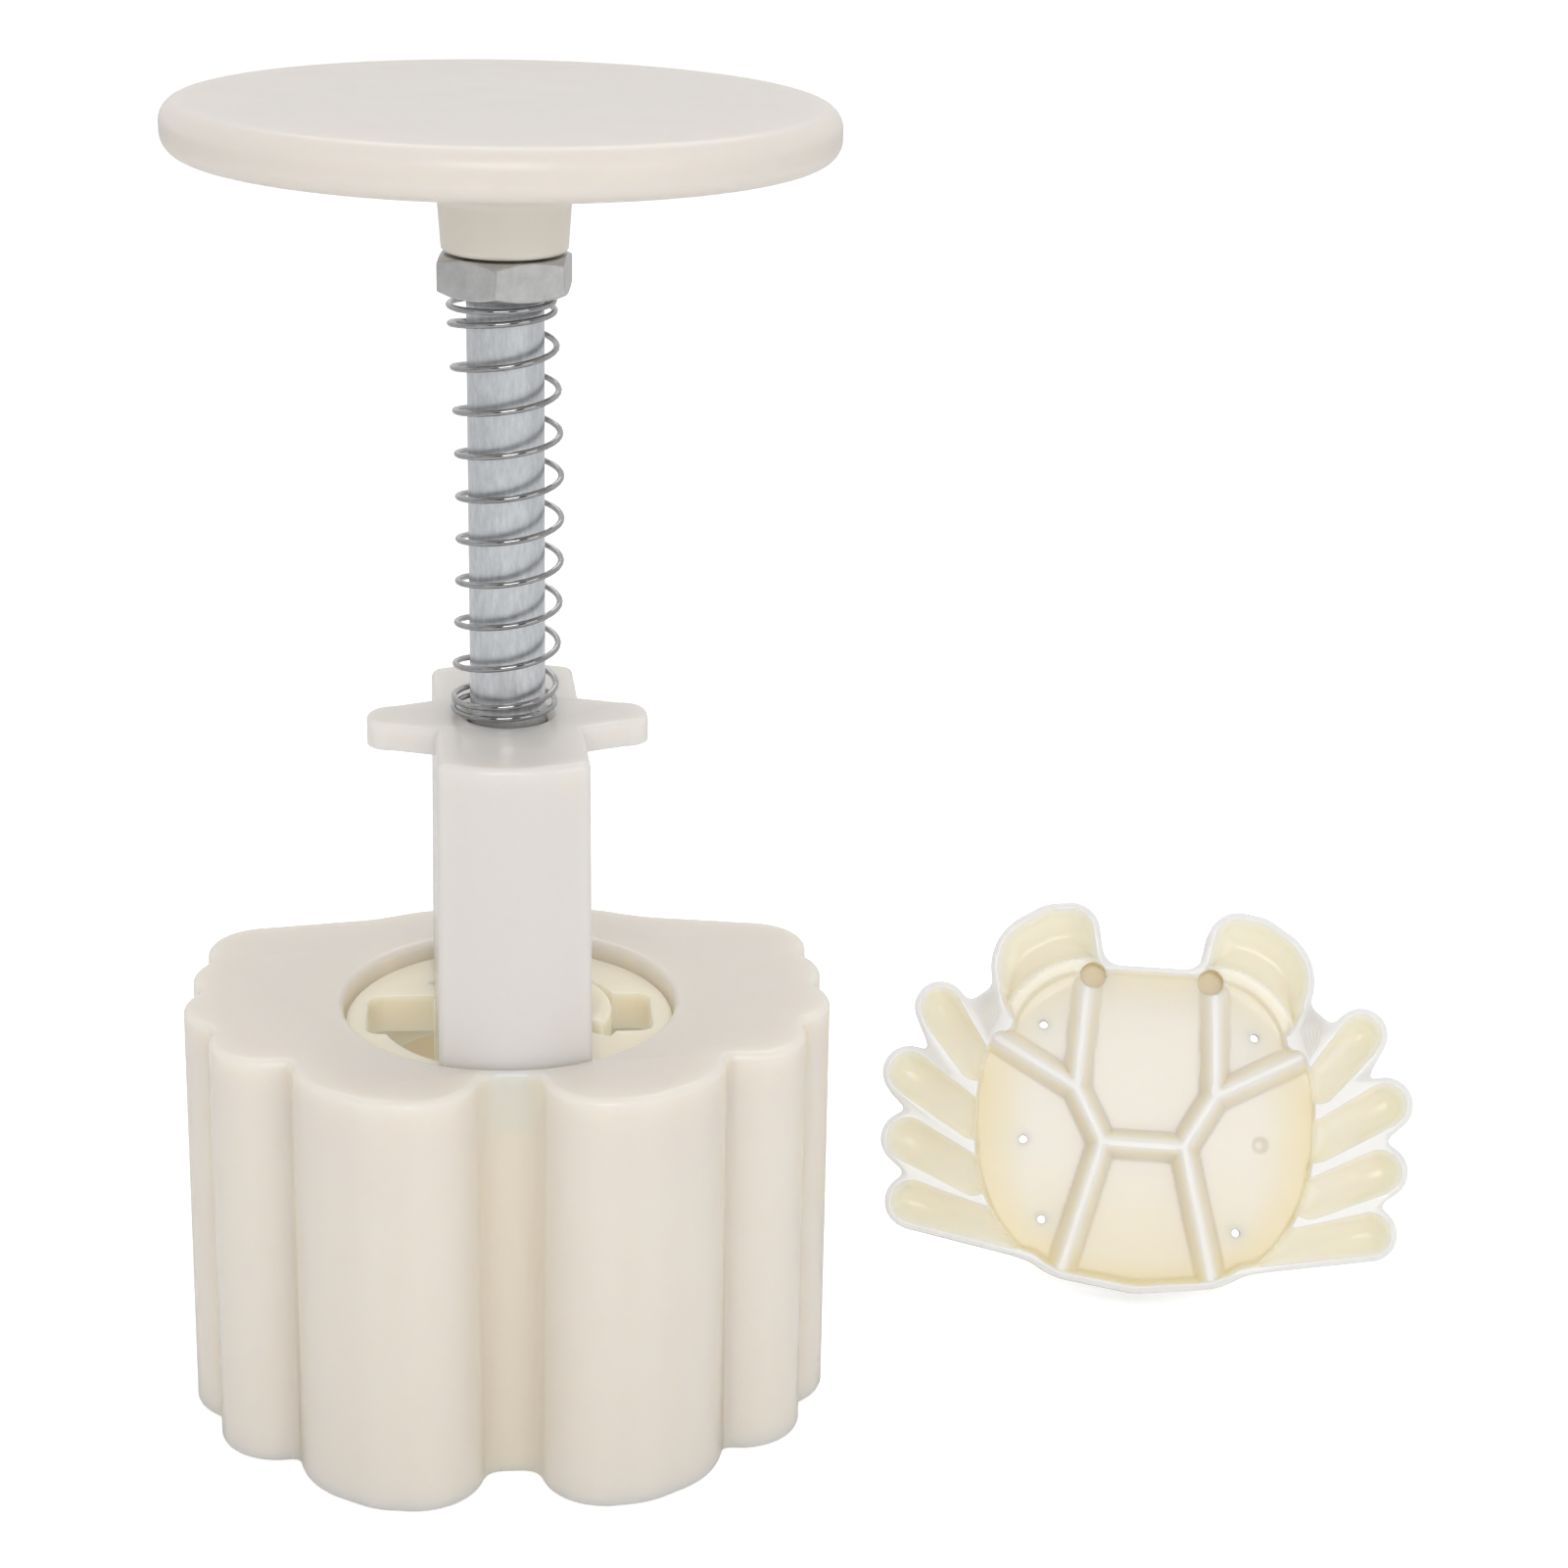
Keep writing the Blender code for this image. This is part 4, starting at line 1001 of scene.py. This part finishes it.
plate = prism(crab_outline(0.0), 0.0, PLATE)
round_edges(plate, edges_at(plate, 0.0), 0.3 * MM, 2)
round_edges(plate, edges_at(plate, PLATE), 0.5 * MM, 2)
stamp = make_piece("crab_stamp", plate)
combine(stamp, lathe([
    (0.0, 7.0 * MM),
    (9.0 * MM, 7.0 * MM),
    (9.0 * MM, 8.1 * MM),
    (7.4 * MM, 8.7 * MM),
    (6.6 * MM, 9.6 * MM),
    (STEM_RADIUS, 10.8 * MM),
    (STEM_RADIUS, STEM_END - 0.4 * MM),
    (STEM_RADIUS - 0.4 * MM, STEM_END),
    (0.0, STEM_END),
], 96), "UNION")
combine(stamp, lathe(rod_profile(SEAT_RADIUS, 26.7 * MM, STEM_END + 1.0 * MM), 96), "DIFFERENCE")
combine(stamp, block, "DIFFERENCE")


def sink(profile, segments, x, y):
    """Cuts a turned hole into the face."""
    bit = lathe(profile, segments)
    bmesh.ops.translate(bit, vec=(x * MM, y * MM, 0.0), verts=bit.verts)
    combine(stamp, bit, "DIFFERENCE")


for x, y in (EYE, (-EYE[0], EYE[1])):
    sink(rod_profile(EYE_RADIUS, BEFORE_FACE, EYE_DEPTH), 48, x, y)
for x, y in VENTS:
    sink([
        (0.0, BEFORE_FACE),
        (VENT_RADIUS, BEFORE_FACE),
        (VENT_RADIUS, 3.0 * MM),
        (VENT_BACK_RADIUS, VENT_END),
        (0.0, VENT_END),
    ], 40, x, y)
print("the stamp has 2 eyes and", len(VENTS), "vents, which widen towards the back to let light through")

# %% Fine lines on the two shoulder facets
LINE_COUNT = 6
LINE_FIRST = 0.35
LINE_STEP = 0.45
LINE_WIDTH = 0.18
LINE_FOOT = -0.3 * MM
LINE_HEIGHT = 0.48 * MM

grooves = bmesh.new()
for side in (1.0, -1.0):
    for step in range(LINE_COUNT):
        reach = LINE_FIRST + LINE_STEP * step
        trim = max(0.0, reach - 0.4)
        upper = (19.55 + 0.62 * trim, -13.1 + 0.75 * trim)
        middle = (17.75 + reach * 1.1, -9.45)
        lower = (19.55 + 0.45 * trim, -6.1 - 0.95 * trim)
        line = [upper, middle, lower] + [(px + LINE_WIDTH, py) for px, py in (lower, middle, upper)]
        foot = [grooves.verts.new((side * px * MM, py * MM, LINE_FOOT)) for px, py in line]
        raised = extrude(grooves, [grooves.faces.new(foot)])
        bmesh.ops.translate(grooves, vec=(0.0, 0.0, LINE_HEIGHT), verts=raised)
bmesh.ops.recalc_face_normals(grooves, faces=grooves.faces)
combine(stamp, grooves, "DIFFERENCE")
smooth(stamp, 38.0)

# %% [markdown]
# The plastic of the stamp carries painted light and shade: a paler painted light on its rim and in its
# limbs, and a warmer, darker painted shade in its hollows. The colour could be guessed from the angle of
# the surface, but the making knows better, so four numbers are stored at every point. Rim marks the face
# and the edge, limb the legs and claws, and the warm shade mark the eyes, the border of the shell, the
# walls of the ridges and the belly. Scatter says how far light sinks in.

# %% Store the four marks on the stamp
marks = {"rim": [], "painted_warm_shade": [], "limb": []}
for vertex in stamp.data.vertices:
    x = vertex.co.x / MM
    y = vertex.co.y / MM
    shell_in = shell_inside(abs(x), y)
    on_face = 1.0 - ease(vertex.co.z / MM, 0.0, 0.5)
    crest = ridge_share(ridge_gap(abs(x), y))
    limb_share = 1.0 - ease(shell_in, -0.6, 0.8)
    claw_share = ease(claw_gap(abs(x), y), 0.6, 1.4) * ease(-y, 6.0, 8.0) * ease(abs(x), 5.5, 6.5)
    eye_share = 1.0 - ease(math.hypot(abs(x) - EYE[0], y - EYE[1]), 1.5, 1.8)
    edge_share = (1.0 - 0.5 * ease(-y, 0.0, 8.0)) * (1.0 - ease(shell_in, 0.5, 8.0))
    wall_share = 1.6 * crest * (1.0 - crest) * (1.0 - on_face)
    belly_share = 0.5 * ease(y, 6.0, 18.0)
    # Rim and limb paint light on the face, the edge and the limbs; the warm mark paints shade in the
    # hollows.
    marks["rim"].append(max(on_face, 1.0 - ease(-crab_distance(x, y), 0.0, 0.7)))
    marks["painted_warm_shade"].append(max(eye_share, edge_share, wall_share, belly_share))
    marks["limb"].append(max(limb_share, claw_share) * (1.0 - eye_share))
for name, values in marks.items():
    stamp.data.attributes.new(name, "FLOAT", "POINT").data.foreach_set("value", values)
mark_points(stamp, "scatter", lambda point: 1.0 - ease(point.z, 10.0, 30.0))
print("marks on the stamp:", ", ".join(marks), "and scatter")

# %% Stand the stamp beside the press
STAND_TURN = math.radians(-11.0)
belly = settle(0.0, NEAR_BELLY_EDGE, 0.0)[1] * MM
recline = math.atan2(belly - STEM_RADIUS, STEM_END - PLATE)
stand_height = belly * math.cos(recline) + PLATE * math.sin(recline)
STAND_PLACE = PRESS + Vector((0.07736, 0.02082, stand_height))
ON_STAND = (Matrix.Translation(STAND_PLACE) @ Matrix.Rotation(STAND_TURN, 4, "Z")
            @ Matrix.Rotation(-(math.pi / 2.0 + recline), 4, "X"))
seat(stamp, ON_STAND, "stamp", "stamp")
print("it leans back by", round(math.degrees(recline), 1), "degrees")

# %% Brass inserts


def turned_insert(name, bore, radius, foot, top, matrix, body, replaced):
    """A brass bush with a groove that holds it in the plastic."""
    step = (top - foot) / 6.0
    groove = radius - 0.5 * MM
    profile = [
        (bore, foot), (radius, foot), (radius, foot + step), (groove, foot + 1.4 * step),
        (groove, foot + 2.2 * step), (radius, foot + 2.6 * step), (radius, top - 0.2 * MM),
        (radius - 0.2 * MM, top), (bore + 0.4 * MM, top), (bore, top - 0.4 * MM),
    ]
    insert = make_piece(name, lathe(profile, 96))
    smooth(insert)
    seat(insert, matrix, body, replaced)
    return insert


INSERT_RADIUS = 5.2 * MM
knob_bush = turned_insert(
    "knob_bush", ROD_BORE, INSERT_RADIUS, 131.7 * MM, 140.9 * MM, ON_PRESS, "plunger", "knob_insert")
stamp_bush = turned_insert(
    "stamp_bush", 3.4 * MM, INSERT_RADIUS, 27.0 * MM, 38.7 * MM, ON_STAND, "stamp", "stamp_insert")

# %% [markdown]
# The plastic is a cream acetal or nylon, a little translucent. Subsurface scattering softens its shading,
# a slow noise shifts its tone and roughness, and a fine bump breaks the gloss like a moulded skin. In the
# photograph light seeps through the walls and warms the opening. Tracing it through thick plastic takes
# too long, so the inner faces, the boss and the outer grooves carry a mark and get painted light instead:
# a warmer painted tint and a little emission of that warm light. On the boss, which lies in the shade of
# the disc, this painted light also lifts the shade.

# %% Plastic
SCATTER_COLOUR = (1.0, 0.88, 0.7)
PLASTIC_IOR = 1.48
SKIN_DEPTH = 0.0001


def noise(tree, vector, scale, detail):
    """A noise pattern that stays fixed to the object."""
    made = node(tree, "ShaderNodeTexNoise")
    preset(made, {"Scale": scale, "Detail": detail})
    join(tree, vector, made.inputs["Vector"])
    return made


def blend(tree, share, under, over):
    """Mixes a colour over another one, which is either plain or an output."""
    made = node(tree, "ShaderNodeMix", data_type="RGBA")
    made.inputs["B"].default_value = (*over, 1.0)
    if isinstance(under, tuple):
        made.inputs["A"].default_value = (*under, 1.0)
    else:
        join(tree, under, made.inputs["A"])
    join(tree, share, made.inputs["Factor"])
    return made.outputs["Result"]


def grain_surface(tree, shader, pattern, strength, distance):
    """Turns a pattern into a fine bump."""
    bump = node(tree, "ShaderNodeBump")
    preset(bump, {"Strength": strength, "Distance": distance})
    join(tree, pattern.outputs["Fac"], bump.inputs["Height"])
    join(tree, bump.outputs["Normal"], shader.inputs["Normal"])


def plastic(name, colour, warm_colour, smoothest, dullest, depth_mm, grain=0.10):
    """Cream moulded plastic: cloudy tone, soft light inside, fine moulded skin."""
    material, tree, shader = new_material(name)
    preset(shader, {
        "Subsurface Weight": 1.0,
        "Subsurface Radius": SCATTER_COLOUR,
        "Subsurface Scale": depth_mm * MM,
        "IOR": PLASTIC_IOR,
    })
    place = node(tree, "ShaderNodeTexCoord").outputs["Object"]
    clouds = noise(tree, place, 38.0, 3.0)
    smear = noise(tree, place, 160.0, 5.0)
    skin = noise(tree, place, 240.0, 1.0)
    join(tree, blend(tree, clouds.outputs["Fac"], colour, warm_colour), shader.inputs["Base Color"])
    polish = remap(tree, smear.outputs["Fac"], (0.3, 0.7), (smoothest, dullest))
    join(tree, polish, shader.inputs["Roughness"])
    grain_surface(tree, shader, skin, grain, SKIN_DEPTH)
    return material


def paint(item, material):
    """Gives a piece one material."""
    item.data.materials.clear()
    item.data.materials.append(material)


# %% Painted light for the light that seeps through plastic
SEEP_LEVEL = 0.125
SEEP_LIGHT = (0.97, 1.0, 0.90, 1.0)
PAINTED_SEEP_TINT = (0.76, 0.68, 0.53)


def stored_share(tree, name):
    """The number that was stored at the points of a piece."""
    return node(tree, "ShaderNodeAttribute", attribute_name=name).outputs["Fac"]


def let_light_seep(material, painted_tint_share):
    """Paints light on the marked faces: a warmer painted tint and a little emission, for the light that
    comes through the wall.
    """
    tree = material.node_tree
    shader = tree.nodes["Principled BSDF"]
    glow = stored_share(tree, "glow")
    join(tree, times(tree, glow, SEEP_LEVEL), shader.inputs["Emission Strength"])
    shader.inputs["Emission Color"].default_value = SEEP_LIGHT
    tone = shader.inputs["Base Color"].links[0].from_socket
    join(tree, blend(tree, times(tree, glow, painted_tint_share), tone, PAINTED_SEEP_TINT), shader.inputs["Base Color"])
    return material


def scatter_by_mark(material):
    """Lets light sink in only where the mark says so, not in the thin walls around a metal insert."""
    tree = material.node_tree
    weight = tree.nodes["Principled BSDF"].inputs["Subsurface Weight"]
    join(tree, stored_share(tree, "scatter"), weight)


for piece, name, colour, warm_colour, smoothest, depth_mm, painted_tint_share in (
    (barrel, "cream_barrel", (0.78, 0.73, 0.67), (0.77, 0.72, 0.66), 0.17, 5.0, 1.5),
    (ring, "yellow_ring", (0.86, 0.80, 0.61), (0.84, 0.78, 0.58), 0.17, 5.0, 1.5),
    (tower, "pale_tower", (0.735, 0.71, 0.69), (0.725, 0.70, 0.675), 0.17, 4.0, 1.5),
    (disc, "cream_disc", (0.72, 0.68, 0.64), (0.71, 0.67, 0.63), 0.29, 5.0, 0.7),
):
    coat = plastic(name, colour, warm_colour, smoothest, smoothest + 0.07, depth_mm)
    paint(piece, let_light_seep(coat, painted_tint_share))
    print(piece.name, "is painted with", name)
scatter_by_mark(disc.data.materials[0])

# %% Plastic of the stamp, with painted light and shade from the stored marks
PAINTED_HOLLOW_SHADE = (0.80, 0.72, 0.495)
PAINTED_LIMB_LIGHT = (0.885, 0.845, 0.72)
PAINTED_RIM_LIGHT = (0.775, 0.765, 0.75)

stamp_material = plastic("pale_stamp", (0.82, 0.785, 0.71), (0.81, 0.77, 0.69), 0.12, 0.2, 4.0, 0.2)
stamp_tree = stamp_material.node_tree
stamp_shader = stamp_tree.nodes["Principled BSDF"]
stamp_shader.inputs["Specular IOR Level"].default_value = 0.36
tone = stamp_shader.inputs["Base Color"].links[0].from_socket
# Painted light and shade: the hollows get a warmer painted shade, the limbs and the rim a paler painted
# light.
for mark, colour in (("painted_warm_shade", PAINTED_HOLLOW_SHADE), ("limb", PAINTED_LIMB_LIGHT), ("rim", PAINTED_RIM_LIGHT)):
    tone = blend(stamp_tree, stored_share(stamp_tree, mark), tone, colour)
join(stamp_tree, tone, stamp_shader.inputs["Base Color"])
scatter_by_mark(stamp_material)
paint(stamp, stamp_material)
print("crab_stamp is painted with pale_stamp")

# %% [markdown]
# Zinc on steel is not a mirror. It has a fine mottle from the bath and marks along the rod, so a
# stretched noise drives the tone, the roughness and the bump. The spring is plain bright wire.

# %% Metals


def metal(name, light, dark, roughness, stretch, scale, bump_height):
    """Coated metal with a mottle that can be stretched along Z."""
    material, tree, shader = new_material(name)
    shader.inputs["Metallic"].default_value = 1.0
    squeeze = node(tree, "ShaderNodeMapping")
    squeeze.inputs["Scale"].default_value = (1.0, 1.0, stretch)
    join(tree, node(tree, "ShaderNodeTexCoord").outputs["Object"], squeeze.inputs["Vector"])
    mottle = noise(tree, squeeze.outputs["Vector"], scale, 6.0)
    mottle.inputs["Roughness"].default_value = 0.65
    spread = remap(tree, mottle.outputs["Fac"], (0.35, 0.65))
    join(tree, blend(tree, spread, dark, light), shader.inputs["Base Color"])
    polish = remap(tree, mottle.outputs["Fac"], (0.0, 1.0), roughness)
    join(tree, polish, shader.inputs["Roughness"])
    grain_surface(tree, shader, mottle, 0.35, bump_height)
    return material


for piece, name, light, dark, roughness, stretch, scale, bump_height in (
    (rod, "zinc_rod", (0.72, 0.74, 0.76), (0.57, 0.595, 0.625), (0.29, 0.40), 0.3, 1900.0, 0.00003),
    (nut, "zinc_nut", (0.60, 0.60, 0.60), (0.50, 0.50, 0.50), (0.29, 0.4), 1.0, 700.0, 0.00004),
    (clip, "clip_steel", (0.60, 0.60, 0.60), (0.45, 0.45, 0.46), (0.3, 0.42), 1.0, 500.0, 0.00002),
    (spring, "bright_wire", (0.42, 0.42, 0.425), (0.32, 0.32, 0.33), (0.06, 0.14), 1.0, 500.0, 0.00001),
):
    paint(piece, metal(name, light, dark, roughness, stretch, scale, bump_height))
    print(piece.name, "is painted with", name)
brass = metal("turned_brass", (0.78, 0.60, 0.28), (0.66, 0.49, 0.22), (0.3, 0.42), 6.0, 300.0, 0.00002)
paint(knob_bush, brass)
paint(stamp_bush, brass)
